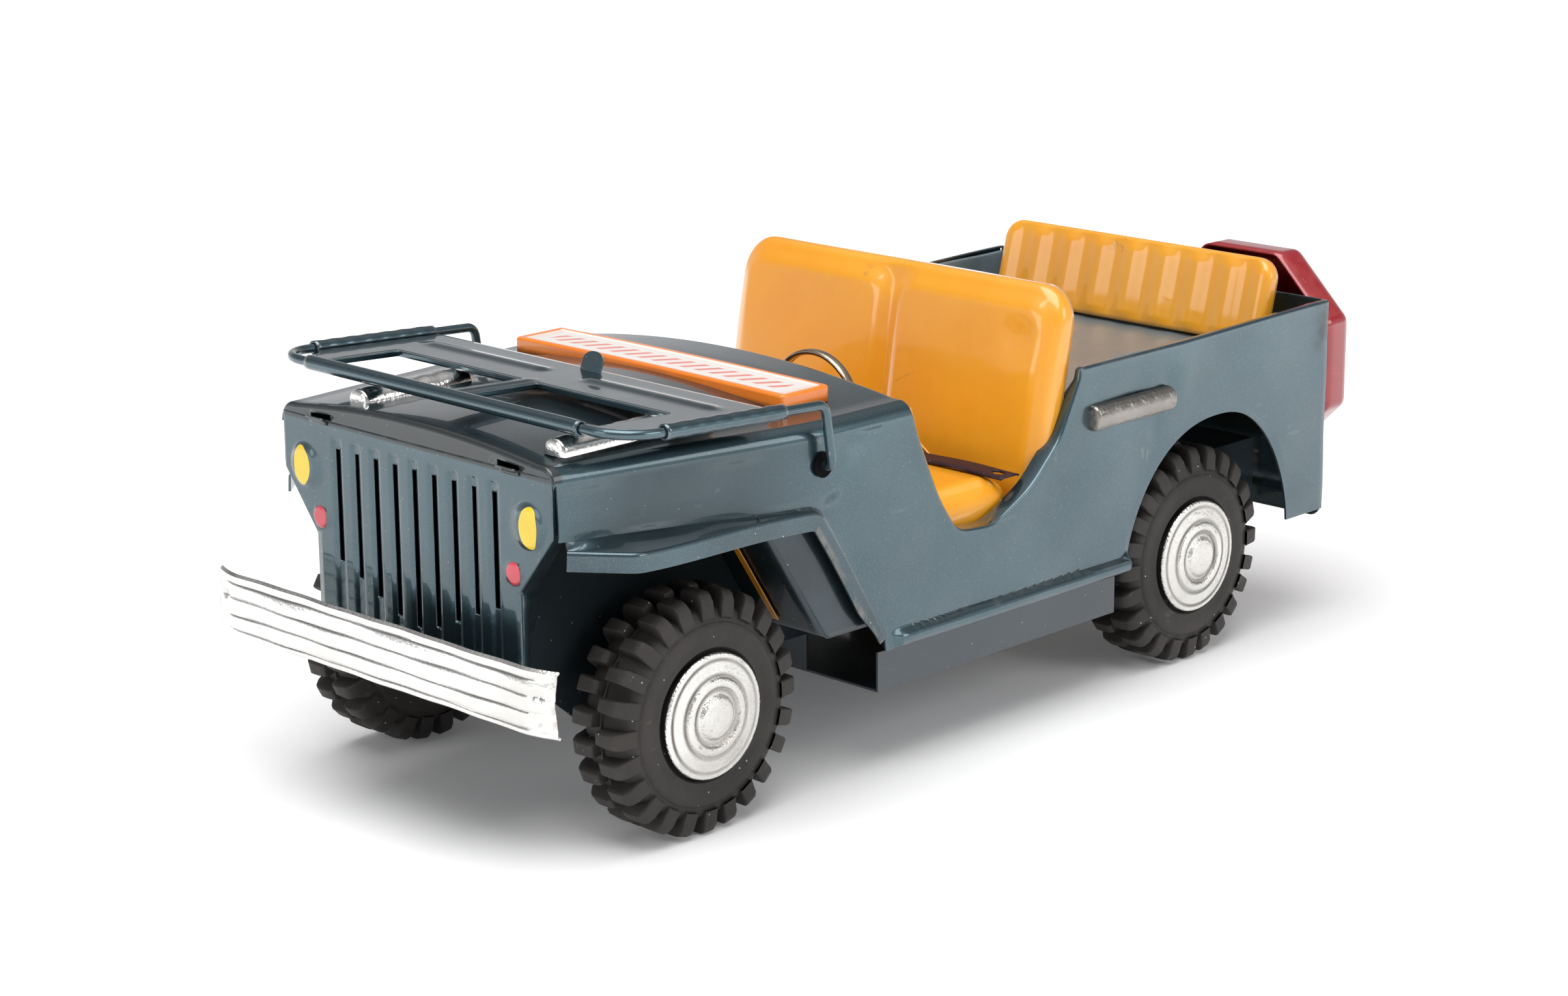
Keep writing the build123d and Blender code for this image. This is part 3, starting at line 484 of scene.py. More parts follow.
def hood_side_painted_shade(tree, group):
    """Mask of painted shade on the sides of the hood, strongest over the wheel."""
    return product(
        tree, axis_band(tree, "X", front_x + 2, 10, 30), axis_band(tree, "Z", 51, 9, 12.5),
        ranged(tree, group.outputs["Blotch"], 0.3, 0.6, 0.55, 0.8))


# The last stain on the body paint is painted shade: it darkens the hood sides as if they lay in shadow.
body_paint = finish(
    "body_paint", (0.070, 0.119, 0.141), 0.88, 0.30, coat=1.0, coat_rough=0.035, flake=0.22,
    dust=0.22, scratch=0.06, grain=1500, bump=0.03, deep=(0.050, 0.091, 0.110), edge=0.5,
    rub=(0.17, 0.20, 0.21), spec=0.4, stains_and_painted_shade=(
        (rust_by_sign, (0.085, 0.038, 0.018)), (dull_lip, (0.040, 0.044, 0.045)),
        (tail_grime, (0.016, 0.018, 0.020)), (hood_side_painted_shade, (0.020, 0.040, 0.050))))


def sampled(*spans):
    """Sorted stations over several (start, end, count) spans."""
    return np.unique(np.concatenate([np.linspace(*span) for span in spans]).round(4))


def body_stations():
    """Stations along the car, close together where an edge is steep."""
    return sampled(
        (tail_x, grille_x - 0.6, 150), (front_x - 39, front_x - 24, 50),
        (cowl_x - 8, cowl_x, 50), (front_x - 90, front_x - 80, 36),
        (front_x - 107, front_x - 101, 44), (front_x - 149.2, front_x - 144, 36),
        (front_x - 57, front_x - 50, 30))


def body_side(stations, side):
    """Side wall: rows ruled from the lower to the upper edge, bulged by the sill bead."""
    low, high = low_edge(stations), high_edge(stations)
    rows = np.r_[np.linspace(0, 0.2, 16), np.linspace(0.2, 1, 21)[1:]][:, None]
    z = low + (high - low) * rows
    x = np.broadcast_to(stations, z.shape)
    y = np.broadcast_to(half_width(stations), z.shape).copy()
    on_sill = ramp(x, front_x - 40.2, front_x - 42.2) * ramp(x, front_x - 103.6, front_x - 101.8)
    bead = np.sqrt(np.clip(1.5 ** 2 - (z - sill_z - 1.6) ** 2, 0, None))
    y += on_sill * bead
    dents = ((front_x - 112, 53.5, 2.2, -0.35), (front_x - 109, 46.5, 1.6, -0.25),
             (front_x - 105, 50, 5, -0.25), (front_x - 117, 56, 2.5, 0.15))
    for place, height, reach, depth in dents:
        y += depth * np.exp(-((x - place) ** 2 + 0.4 * (z - height) ** 2) / reach ** 2)
    # the thin sheet is never quite flat: broad shallow waves, and a hood side that leans in
    waves = np.sin((x - front_x) * 0.23 + z * 0.11) * np.sin(z * 0.19 + 0.6)
    y += 0.16 * waves * ramp(rows, 1.0, 0.8) * ramp(rows, 0.0, 0.15)
    y += 0.05 * np.clip(high - z, 0, 6) * ramp(x, front_x - 24, front_x - 8)
    crease = 0.5 * np.exp(-((x - (taper_x - 2 - 0.5 * (z - 50))) / 3.5) ** 2)
    y -= crease * ramp(z, 48, 52) * ramp(z, 62, 58)
    wall = np.stack([x, side * y, z], -1)
    # The upper edge turns in: a wide flange round the door, a small roll on the tub's rim.
    top = wall[-1]
    along = np.gradient(top, axis=0)
    along /= np.linalg.norm(along, axis=1)[:, None] + 1e-9
    outward = np.stack([-along[:, 2], 0 * along[:, 0], along[:, 0]], -1)
    outward *= np.sign(outward[:, 2:3] + 1e-9)
    in_door = ramp(stations, door_back - 0.5, door_back + 3) * ramp(stations, cowl_x - 1.2, cowl_x - 4)
    deep = 0.7 + 2.1 * in_door
    off = (stations >= cowl_x - 0.01)
    deep = np.where(off, 0.0, deep)
    radius = np.where(off, 0.0, 0.5)
    turns = np.linspace(0, pi / 2, 6)[1:]
    inward = np.array([0, -side, 0])
    flange = [top]
    for angle in turns:
        flange.append(top + outward * (radius * sin(angle))[:, None]
                      + inward * (radius * (1 - cos(angle)))[:, None])
    flange.append(flange[-1] + inward * deep[:, None])
    flange = np.stack(flange)
    used = stations < cowl_x + 0.01
    return wall, flange[:, used]


def hood_sheet(stations):
    """Hood and cowl: shoulder arcs up to a crown whose height falls off as y squared."""
    stations = stations[stations >= cowl_x - 0.01]
    width = half_width(stations)[:, None]
    turns = np.linspace(0, pi / 2, 9)
    arc_y = width - shoulder * (1 - np.cos(turns))
    arc_z = hood_top - width ** 2 / crown - shoulder * (1 - np.sin(turns))
    flat = (width - shoulder) * np.linspace(1, 0, 25)[1:]
    flat_z = hood_top - width ** 2 / crown + (width ** 2 - flat ** 2) / crown
    flat_z = flat_z - (flat_z[:, :1] - arc_z[:, -1:]) * np.linspace(1, 0, 24) ** 2
    half_y = np.concatenate([arc_y, flat], 1)
    half_z = np.concatenate([arc_z, flat_z], 1)
    y = np.concatenate([half_y, -half_y[:, -2::-1]], 1)
    z = np.concatenate([half_z, half_z[:, -2::-1]], 1)
    x = np.broadcast_to(stations[:, None], y.shape)
    return np.stack([x, y, z], -1)


def rolled(edge, ahead, drop, steps):
    """Rows that roll a row of points over a quarter turn.

    Each is moved ahead by the sine of its turn and down by one minus the cosine."""
    turn = np.linspace(0, pi / 2, steps)[:, None]
    rows = np.repeat(edge[None], steps, axis=0)
    rows[..., 0] += ahead * np.sin(turn)
    rows[..., 2] -= drop * (1 - np.cos(turn))
    return rows


def hood_lip(sheet):
    """Front lip: the hood's front row rolls over and drops to the top of the grille."""
    rows = rolled(sheet[-1], 0.585, 0.9, 7)
    foot = hood_top - 3.4
    share = np.array([0.35, 0.7, 1.0])[:, None]
    fall = np.repeat(rows[-1:], 3, axis=0)
    fall[..., 2] = np.minimum(fall[..., 2], fall[..., 2] * (1 - share) + foot * share)
    return np.concatenate([rows, fall])


def cowl_roll(sheet):
    """Rear edge of the cowl, rolled down behind the dash."""
    rows = rolled(sheet[0], -0.6, 0.6, 5)
    return np.concatenate([rows, rows[-1:] - [0, 0, 0.9]])


stations = body_stations()
hood = hood_sheet(stations)
lip = hood_lip(hood)
lip_y = (lip[:-1, :-1, 1] + lip[1:, 1:, 1]) / 2
lip_z = (lip[:-1, :-1, 2] + lip[1:, 1:, 2]) / 2
lip_tab_y = 23.3
solid_lip = ~((np.abs(np.abs(lip_y) - lip_tab_y) < 2.6) & (lip_z < hood_top - 2.5))
grids = [hood, (lip, solid_lip), cowl_roll(hood)]
for side in (1, -1):
    grids += list(body_side(stations, side))
piece("body_shell_skin", grids, "car", body_paint, ["body_shell"],
      wall=tin, bevel=0.1, facing=(0, 0, 1))


def keep_cad(material, *names):
    """CAD nodes that are shown as they are, in a finish of their own."""
    for name in names:
        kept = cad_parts[name]
        kept.data.materials.clear()
        kept.data.materials.append(material)


def turned(profile, x, turns=96):
    """Surface of revolution about the cross axle at x: each (y, radius) point makes a ring."""
    profile = np.asarray(profile, float)
    angle = np.linspace(0, 2 * pi, turns + 1)[None, :]
    y, radius = profile[:, :1], profile[:, 1:]
    return np.stack([x + radius * np.cos(angle), y + 0 * angle, axle_z + radius * np.sin(angle)], -1)


# Each wire hole has its edge pressed inwards; the dark eye round the wire is a near-black disc laid over
# the hole as painted shadow.
hole_x, hole_z = front_x - 24.5, 56.0
hole_painted_shadow = finish(
    "hole_shadow", (0.004, 0.004, 0.005), 0.0, 0.8, dust=0.0, scratch=0.0, bump=0.02, spec=0.1)
for side, name in ((1, "wire_hole_left"), (-1, "wire_hole_right")):
    profile = [(0.03, 0.0), (0.03, 1.72), (0.10, 1.80), (0.10, 1.95), (0.0, 2.1)]
    dimple = turned([(side * (tub_half + up), reach) for up, reach in profile], hole_x, 40)
    dimple[..., 2] += hole_z - axle_z
    piece(name, [dimple], "car", hole_painted_shadow, facing=(0, side, 0))


# ---- grille panel ----
# Flat tin pressing in the body colour, with nine long air slots, two embossed lamps, and
# yellow and red lamp prints. Its edges turn back inside the hood; tabs hold it to the lip.
slot_pitch, slot_half = 4.78, 0.52
slot_floors, slot_ceiling = (31.9, 32.9, 34.9, 37.0, 39.0), 57.6
waist, shoulder_z, bevel_z, panel_top, panel_foot = 24.85, 53.0, 42.75, 62.0, 26.6
lamp_y, lamp_z, lamp_r = 27.3, 53.6, 3.6
marker_y, marker_z, marker_r = 23.7, 45.6, 1.9


def grille_relief(y, z):
    """Forward swell of the panel: two soft lamp domes, and a dished rim at each slot."""
    swell = 0 * y
    for place, height, reach, proud in ((lamp_y, lamp_z, lamp_r, 0.55),
                                        (marker_y, marker_z, marker_r, 0.35)):
        away = np.hypot(np.abs(y) - place, z - height) / reach
        swell = swell + proud * (1 - ramp(away, 0.72, 1.12))
    near = np.abs(y / slot_pitch - np.round(y / slot_pitch)) * slot_pitch
    inside = (np.abs(y) < 4.6 * slot_pitch) & (z < 59) & (z > 31)
    return swell - 0.32 * inside * (1 - ramp(near, 0.55, 1.25))


slot_steps = np.array([-1.5, -1.0, -0.75, -slot_half, slot_half, 0.75, 1.0, 1.5])
slot_edges = (slot_pitch * np.arange(-4, 5)[:, None] + slot_steps).ravel()
columns = np.unique(np.concatenate([slot_edges, np.linspace(-waist, waist, 41)]).round(3))
upper = np.linspace(bevel_z, panel_top, 44)
lower = np.unique(np.r_[np.linspace(panel_foot, bevel_z, 34), slot_floors].round(3))
rows = np.unique(np.r_[lower, upper, slot_ceiling].round(3))
middle_y, middle_z = np.meshgrid(columns, rows)
middle = np.stack([grille_x + grille_relief(middle_y, middle_z), middle_y, middle_z], -1)
cell_y = (middle_y[:-1, :-1] + middle_y[1:, 1:]) / 2
cell_z = (middle_z[:-1, :-1] + middle_z[1:, 1:]) / 2
slot_index = np.round(cell_y / slot_pitch).astype(int)
in_slot = (np.abs(slot_index) < 5) & (np.abs(cell_y - slot_index * slot_pitch) < slot_half)
in_slot &= cell_z < slot_ceiling
in_slot &= cell_z > np.array(slot_floors)[np.clip(np.abs(slot_index), 0, 4)]
grids = [(middle, ~in_slot)]
share = (rows[rows >= bevel_z - 0.001] - bevel_z) / (panel_top - bevel_z)
for side in (1, -1):
    wing_y = side * np.linspace(waist, hood_half - 0.35, 24)
    foot = bevel_z + (np.abs(wing_y) - waist) * (shoulder_z - bevel_z) / (hood_half - waist)
    wing_z = foot + (panel_top - foot) * share[:, None]
    wing_y = np.broadcast_to(wing_y, wing_z.shape)
    grids.append(np.stack([grille_x + grille_relief(wing_y, wing_z), wing_y, wing_z], -1))
    edge = smooth_line([
        (waist, panel_foot), (waist, bevel_z), (hood_half - 0.35, shoulder_z),
        (hood_half - 0.35, panel_top)], 90, 0.7)
    turns = np.linspace(0, pi / 2, 6)
    aside = np.r_[0.3 * np.sin(turns), 0][:, None] - 0.3
    back_by = np.r_[0.5 * (1 - np.cos(turns)), 3.8][:, None]
    grids.append(np.stack([grille_x - back_by + 0 * edge[:, 0], side * (edge[:, 0] + aside),
                           edge[:, 1] + 0 * back_by], -1))
piece("grille_panel_skin", grids, "car", body_paint, ["grille_panel"],
      wall=tin, facing=(1, 0, 0), weld=0.02)
lamp_yellow = finish(
    "lamp_yellow", (0.93, 0.66, 0.012), 0.0, 0.35, coat=0.7, coat_rough=0.08, dust=0.3,
    scratch=0.15, bump=0.03, bare=(0.3, 0.25, 0.1))
marker_red = finish(
    "marker_red", (0.66, 0.045, 0.075), 0.0, 0.35, coat=0.7, coat_rough=0.08, dust=0.3,
    scratch=0.15, bump=0.03, bare=(0.3, 0.1, 0.1))
for side, label in ((1, "left"), (-1, "right")):
    angle = np.linspace(0, 2 * pi, 61)[None, :]
    reach = np.linspace(0, 1, 12)[:, None]
    # The yellow print is a kidney: an upright oval bitten a little on its inner side.
    bean_y = 2.05 * np.cos(angle) + 0.35 * np.sin(angle) ** 2
    bean_z = 3.35 * np.sin(angle)
    for name, y, z, paint in (
            ("lamp_print", lamp_y + 0.3 + reach * bean_y, lamp_z + reach * bean_z, lamp_yellow),
            ("marker_print", marker_y + reach * 1.62 * np.cos(angle),
             marker_z + reach * 1.85 * np.sin(angle), marker_red)):
        print_x = grille_x + 0.03 + grille_relief(y, z)
        piece(f"{name}_{label}", [np.stack([print_x, side * y, z], -1)], "car", paint,
              facing=(1, 0, 0))
    tab_y = np.linspace(-2.1, 2.1, 9)[None, :] + side * lip_tab_y
    tab_s = np.linspace(0, 1, 8)[:, None]
    tab = np.stack([grille_x + 0.25 + 0.9 * tab_s ** 2 + 0 * tab_y, tab_y + 0 * tab_s,
                    61.2 + 1.5 * tab_s - 0.5 * tab_s ** 2 + 0 * tab_y], -1)
    piece(f"grille_tab_{label}", [tab], "car", body_paint, wall=0.3, facing=(1, 0, 0))

# Behind the grille, the pressing's two side walls run back beside the wheels to the toe board, near-black
# as painted shade for the dark inside of the hood.
# The inner paint is the body's blue darkened as painted shade, for faces in the wheel wells.
inner_painted_shade = finish(
    "inner_painted_shade", (0.040, 0.066, 0.080), 0.7, 0.35, coat=0.8, coat_rough=0.08, dust=0.6,
    scratch=0.1, bump=0.05, deep=(0.016, 0.026, 0.032))
# The engine sides' near-black, matt colour is painted shade.
engine_painted_shade = finish(
    "engine_painted_shade", (0.012, 0.018, 0.021), 0.0, 0.8, dust=0.3, scratch=0.0, bump=0.03, spec=0.08)
for side, label in ((1, "left"), (-1, "right")):
    x = np.linspace(grille_x - 1.0, front_x - 22, 70)[None, :]
    z = np.linspace(panel_foot + 0.2, 61.0, 30)[:, None]
    y = side * (waist - 0.5 + 0.4 * np.sin((x - front_x) * 0.2) * np.sin(z * 0.15)) + 0 * z
    piece(f"engine_side_{label}", [np.stack([x + 0 * z, y, z + 0 * x], -1)], "car", engine_painted_shade,
          wall=0.3, facing=(0, side, 0))


# ---- front bumper ----
# Bright plated strip with rolled ridges, held by the chassis tongue. Its ends are
# bent back a little and dimpled, and its edges have darkened.
bright_tin = finish(
    "plated_tin", (0.90, 0.89, 0.87), 1.0, 0.17, dust=0.35, scratch=0.30, grain=1700,
    bump=0.16, deep=(0.70, 0.69, 0.66), bare=(0.16, 0.13, 0.10), blotch=0.16, edge=0.45,
    rub=(0.30, 0.27, 0.23))
bumper_half, bumper_low, bumper_high = 41.4, 24.8, 35.5
bumper_x, end_length = front_x + 35.1, 7.0
groove_places, groove_half = (0.12, 0.36, 0.62, 0.86), 0.018
y = np.linspace(-bumper_half, bumper_half, 190)[None, :]
z = np.linspace(bumper_low, bumper_high, 84)[:, None]
share = (z - bumper_low) / (bumper_high - bumper_low)
grooves = sum(np.exp(-((share - place - 0.006 * np.sin(y * 0.13 + 9 * place)) / groove_half) ** 2)
              for place in groove_places)
swell = 1 - (2 * share - 1) ** 2
bands = 0.10 * np.abs(np.sin((share - 0.12) * 4.08 * pi))
curl = ramp(share, 0.035, 0.0) + ramp(share, 0.965, 1.0)
bend = np.clip((np.abs(y) - bumper_half + end_length) / end_length, 0, 1) ** 2
dimples = sum(np.exp(-((np.abs(y) - 38.6) ** 2 + (z - height) ** 2) / 0.8)
              for height in (27.6, 31.5))
x = bumper_x + 0.38 * swell + (bands - 0.17 * grooves) * (1 - bend)
x = x - 0.5 * curl - 1.3 * bend - 0.45 * dimples
x = x + 0.12 * np.sin(y * 0.21 + z * 0.8) + 0.08 * np.sin(y * 0.53 + 1.3)
piece("front_bumper_strip", [np.stack([x, y + 0 * z, z + 0 * y], -1)], "car", bright_tin,
      ["front_bumper"], wall=tin, bevel=0.08, facing=(1, 0, 0))


# ---- fenders ----
# Bent strips of body-colour tin over the front wheels, outer and front edges folded down.
# Tabs through the hood side hold them; the tops have gone dusty.
fender_paint = finish(
    "fender_paint", (0.064, 0.108, 0.128), 0.85, 0.34, coat=0.9, coat_rough=0.06, flake=0.22,
    dust=1.0, scratch=0.35, grain=1200, bump=0.05, deep=(0.036, 0.063, 0.077), edge=0.9,
    rub=(0.18, 0.17, 0.15), bare=(0.15, 0.13, 0.11))
fender_edge, fender_fall, fender_roll = tub_half + 0.6, 3.1, 0.7
tip_x, nose_slope = grille_x - 2.0, 1.037


def fender_skin(side):
    """Strip carried along the bent fender line, from the hood's side to its rolled edge.

    The outer edge follows the slanted nose and then runs straight, and the folded wall
    drops along the line's own normal."""
    path = smooth_line([
        (tip_x, 52.35), (front_x - 23.6, 49.55), (front_x - 38.6, 25.0)], 260, 4.5)
    tangent = np.gradient(path, axis=0)
    tangent /= np.linalg.norm(tangent, axis=1)[:, None]
    normal = np.stack([-tangent[:, 1], tangent[:, 0]], 1)
    normal *= np.sign(normal[:, 1:2] + 1e-9)
    inner = half_width(path[:, 0]) + 0.02
    slant = hood_half + 0.7 + (tip_x - path[:, 0]) / nose_slope
    gap = slant - fender_edge
    outer = fender_edge + np.where(gap < -1.2, gap, -np.log1p(np.exp(-gap * 2.5)) / 2.5)
    outer = np.maximum(outer, inner + 0.3)
    lean = np.clip(np.gradient(outer) / (np.abs(np.gradient(path[:, 0])) + 1e-6), 0, 1)
    ahead = (lean / np.sqrt(1 + lean ** 2))[:, None]
    aside = (1 / np.sqrt(1 + lean ** 2))[:, None]
    across = np.linspace(0, 1, 16)[:, None]
    width = inner + (outer - inner) * across
    droop = (0.5 + 1.1 * ramp(path[:, 0], front_x - 15, front_x + 14)) * across
    knee = np.exp(-((path[:, 0] - front_x + 25) / 2.5) ** 2)
    dip = -droop - 0.35 * np.sin(across * pi) - 0.25 * knee * across
    top = np.stack([path[:, 0] + normal[:, 0] * dip, width, path[:, 1] + normal[:, 1] * dip], -1)
    edge = top[-1]
    out = np.stack([ahead[:, 0] * 1.0, aside[:, 0], 0 * path[:, 0]], -1)
    down = np.stack([-normal[:, 0], 0 * path[:, 0], -normal[:, 1]], -1)
    rows = [row for row in top]
    for turn in np.linspace(0, pi / 2, 8)[1:]:
        rows.append(edge + fender_roll * (sin(turn) * out * 0.8 + (1 - cos(turn)) * down))
    foot = fender_fall * (1 - 0.35 * ramp(path[:, 0], front_x - 34, front_x - 38))[:, None]
    for part in (0.33, 0.66, 1.0):
        rows.append(rows[22] + down * (foot - fender_roll) * part)
    skin = np.stack(rows)
    skin[..., 1] *= side
    return skin


for side, label in ((1, "left"), (-1, "right")):
    piece(f"fender_{label}_skin", [fender_skin(side)], "car", fender_paint,
          [f"fender_{label}"], wall=tin, bevel=0.1, facing=(0, 0, 1))


# ---- chassis pan ----
# One folded pan under the car, painted dark grey, with upright rails round each axle. The
# tongue in front carries the bumper.
chassis_paint = finish(
    "chassis_paint", (0.042, 0.055, 0.068), 0.45, 0.34, coat=0.7, coat_rough=0.08, dust=0.6,
    scratch=0.2, grain=500, bump=0.04, deep=(0.036, 0.047, 0.058), bare=(0.12, 0.11, 0.10),
    blotch=0.06)
keep_cad(chassis_paint, "chassis_pan")


# ---- sign plate ----
# Narrow printed tray tabbed across the cowl: orange folded edges round a white face with a
# row of slanted red warning bars.
sign_x, sign_half, sign_deep = front_x - 29.0, 32.4, 5.4
bar_pitch, bar_slant = 3.4, 0.65
sign_top = box_mm("sign_plate")[1][2]


def sign_finish():
    """Orange enamel with a white field and slanted red bars, all in Object coordinates."""
    material = finish(
        "sign_enamel", (0.93, 0.25, 0.012), 0.0, 0.30, coat=0.8, coat_rough=0.08, dust=0.3,
        scratch=0.12, bump=0.03, deep=(0.86, 0.19, 0.008), edge=0.5, rub=(0.35, 0.12, 0.03))
    tree = material.node_tree
    shader = tree.nodes["Principled BSDF"]
    base = shader.inputs["Base Color"].links[0].from_socket
    split = tree.nodes.new("ShaderNodeSeparateXYZ")
    tree.links.new(tree.nodes.new("ShaderNodeTexCoord").outputs["Object"], split.inputs[0])

    def box_mask(half_deep, half_wide):
        """Mask of a box round the sign's middle, with a print's slightly soft edge."""
        return product(tree, axis_band(tree, "X", sign_x, half_deep - 0.1, half_deep + 0.1),
                       axis_band(tree, "Y", 0, half_wide - 0.1, half_wide + 0.1))

    flat = ranged(tree, split.outputs["Z"], (sign_top - 0.55) * mm, (sign_top - 0.45) * mm, 0, 1)
    slope = worked(tree, "MULTIPLY_ADD", split.outputs["X"], bar_slant, split.outputs["Y"])
    wave = worked(tree, "FRACT", worked(tree, "MULTIPLY", slope, 1 / (bar_pitch * mm)))
    stripes = ranged(tree, wave, 0.40, 0.46, 1.0, 0.0)
    field = product(tree, box_mask(4.35, sign_half - 1.3), flat)
    bars = product(tree, stripes, box_mask(1.9, sign_half - 4.6), flat)
    white = mixed(tree, field, base, (0.86, 0.80, 0.74))
    red = mixed(tree, bars, white, (0.80, 0.20, 0.15))
    tree.links.new(red, shader.inputs["Base Color"])
    return material


def rounded_outline(half_wide, low, high, corners, count=360):
    """Closed outline of a box whose four corner radii start at the lower right, going round.

    It is resampled evenly, so rings shrunk towards the middle keep an even grid."""
    line = []
    places = ((half_wide, low, -pi / 2), (half_wide, high, 0), (-half_wide, high, pi / 2),
              (-half_wide, low, pi))
    for (px, py, start), radius in zip(places, corners):
        cx, cy = px - np.sign(px) * radius, py + (radius if py == low else -radius)
        turn = start + np.linspace(0, pi / 2, 14)
        line.append(np.stack([cx + radius * np.cos(turn), cy + radius * np.sin(turn)], 1))
    line = np.concatenate(line + [line[0][:1]])
    step = np.r_[0, np.cumsum(np.linalg.norm(np.diff(line, axis=0), axis=1))]
    even = np.linspace(0, step[-1], count + 1)
    return np.stack([np.interp(even, step, line[:, k]) for k in range(2)], 1)


def pressed_panel(outline, place, relief, depth, roll=0.8, rings=44, heart=None):
    """Grid of a pressed panel: a turned-back rim, a rolled edge, then rings to the middle.

    place turns (across, up, out) into car coordinates, and relief gives the height out of
    the panel's plane at each (across, up) point. With a heart, the rolled edge shrinks
    towards it instead of following the outline's own normals."""
    shrunk = heart is not None
    heart = np.array(heart) if shrunk else np.mean([outline.min(0), outline.max(0)], axis=0)
    tangent = np.stack([np.gradient(np.r_[outline[-2:-1, k], outline[:-1, k], outline[:1, k]])[1:-1]
                        for k in range(2)], 1)
    tangent /= np.linalg.norm(tangent, axis=1)[:, None]
    outward = np.stack([tangent[:, 1], -tangent[:, 0]], 1)
    outward = np.concatenate([outward, outward[:1]])
    inner = outline - outward * roll
    if shrunk:
        inner = heart + (outline - heart) * (1 - roll / np.abs(outline - heart).max())
    rows = []
    if depth > roll:
        for part in (1.0, 0.5):
            rows.append(np.c_[outline, np.full(len(outline), -roll - (depth - roll) * part)])
    for turn in np.linspace(0, pi / 2, 7):
        ring = inner + (outline - inner) * cos(turn)
        rows.append(np.c_[ring, np.full(len(outline), -roll * (1 - sin(turn)))])
    for scale in np.linspace(1, 0, rings)[1:]:
        ring = heart + (inner - heart) * scale
        rows.append(np.c_[ring, np.zeros(len(outline))])
    local = np.stack(rows)
    top = np.stack([relief(row[:, 0], row[:, 1]) for row in local])
    skirt = 2 if depth > roll else 0
    fade = np.ones(len(local))
    fade[:skirt] = 0
    local[..., 2] += top * fade[:, None]
    return place(local[..., 0], local[..., 1], local[..., 2])


def sign_relief(a, u):
    """The white face lies 0.25 mm below its orange border."""
    return -0.25 * ramp(np.maximum(np.abs(a) - sign_half, np.abs(u) - sign_deep), -0.9, -1.5)


sign_outline = rounded_outline(sign_half, -sign_deep, sign_deep, (0.8,) * 4, 300)
sign_grid = pressed_panel(
    sign_outline, lambda a, u, n: np.stack([sign_x + u, a, sign_top + n], -1), sign_relief,
    2.7, 0.5, 26)
sign_grid[..., 2] -= 0.25 * (sign_grid[..., 1] / sign_half) ** 2
piece("sign_plate_tray", [sign_grid], "car", sign_finish(), ["sign_plate"],
      wall=0.3, facing=(0, 0, 1))


# ---- half-round pressings ----
# The same small plated pressing is used four times: as door handle on each side, and as a
# rest on the hood that carries the folded windscreen. Tabs at its ends go through slots.
dull_tin = finish(
    "dull_plate", (0.38, 0.36, 0.33), 1.0, 0.34, dust=0.6, scratch=0.7, grain=1300, bump=0.35,
    deep=(0.24, 0.22, 0.20), bare=(0.10, 0.08, 0.07), blotch=0.22, edge=0.8,
    rub=(0.75, 0.73, 0.70))


def half_round(length, half_wide, proud):
    """Half-ellipse section along a length, each end closed by a short rounded nose.

    Returns along, across and out as a grid; out is measured from the mounting face."""
    nose = 0.8
    turn = np.linspace(0, pi / 2, 9)
    tip = length / 2 - nose + nose * np.sin(turn)
    close = np.cos(turn) ** 0.5 + 0.001
    straight = np.linspace(-length / 2 + nose, length / 2 - nose, 58)[1:-1]
    along = np.concatenate([-tip[::-1], straight, tip])
    shrink = np.concatenate([close[::-1], np.ones(56), close])
    turn = np.linspace(0, pi, 33)
    across = half_wide * np.cos(turn)[:, None] * shrink
    out = proud * (np.sin(turn) ** 0.8)[:, None] * shrink
    out = out + 0.05 * np.sin(along * 1.7) * np.sin(turn)[:, None] * shrink
    return along[None, :] + 0 * out, across, out


for side, label in ((1, "left"), (-1, "right")):
    low, high = box_mm(f"door_handle_{label}")
    along, across, out = half_round(high[0] - low[0], 2.3, 2.3)
    middle_x, middle_z = (low[0] + high[0]) / 2, (low[2] + high[2]) / 2
    skin = np.stack([middle_x + along, side * (tub_half + 0.05 + out), middle_z + across], -1)
    piece(f"door_handle_{label}_pressing", [skin], "car", dull_tin, [f"door_handle_{label}"],
          facing=(0, side, 0))
for label in ("left", "right"):
    low, high = box_mm(f"hood_rest_{label}")
    along, across, out = half_round(high[0] - low[0] + 0.6, 2.5, 2.7)
    middle_x, middle_y = (low[0] + high[0]) / 2, (low[1] + high[1]) / 2
    skin = np.stack([middle_x + along, middle_y + across, high[2] - 2.4 + out], -1)
    piece(f"hood_rest_{label}_pressing", [skin], "car", bright_tin, [f"hood_rest_{label}"],
          facing=(0, 0, 1))


# ---- windscreen ----
# Tin frame in the body colour with two open panes, its edges rolled round one bent wire
# that turns in the body's holes. It lies folded forward on the hood rests.
screen_paint = finish(
    "screen_paint", (0.066, 0.114, 0.136), 0.88, 0.32, coat=1.0, coat_rough=0.035, flake=0.2,
    dust=0.4, scratch=0.15, grain=1500, bump=0.03, deep=(0.047, 0.086, 0.104), edge=0.8,
    rub=(0.17, 0.20, 0.21))
wire_radius, roll_radius = 0.8, 1.25
wire_high = box_mm("windscreen_wire")[1]
wire_x, wire_y, wire_z = wire_high - wire_radius
leg_x = front_x - 22.9
apron_x = front_x - 13.5


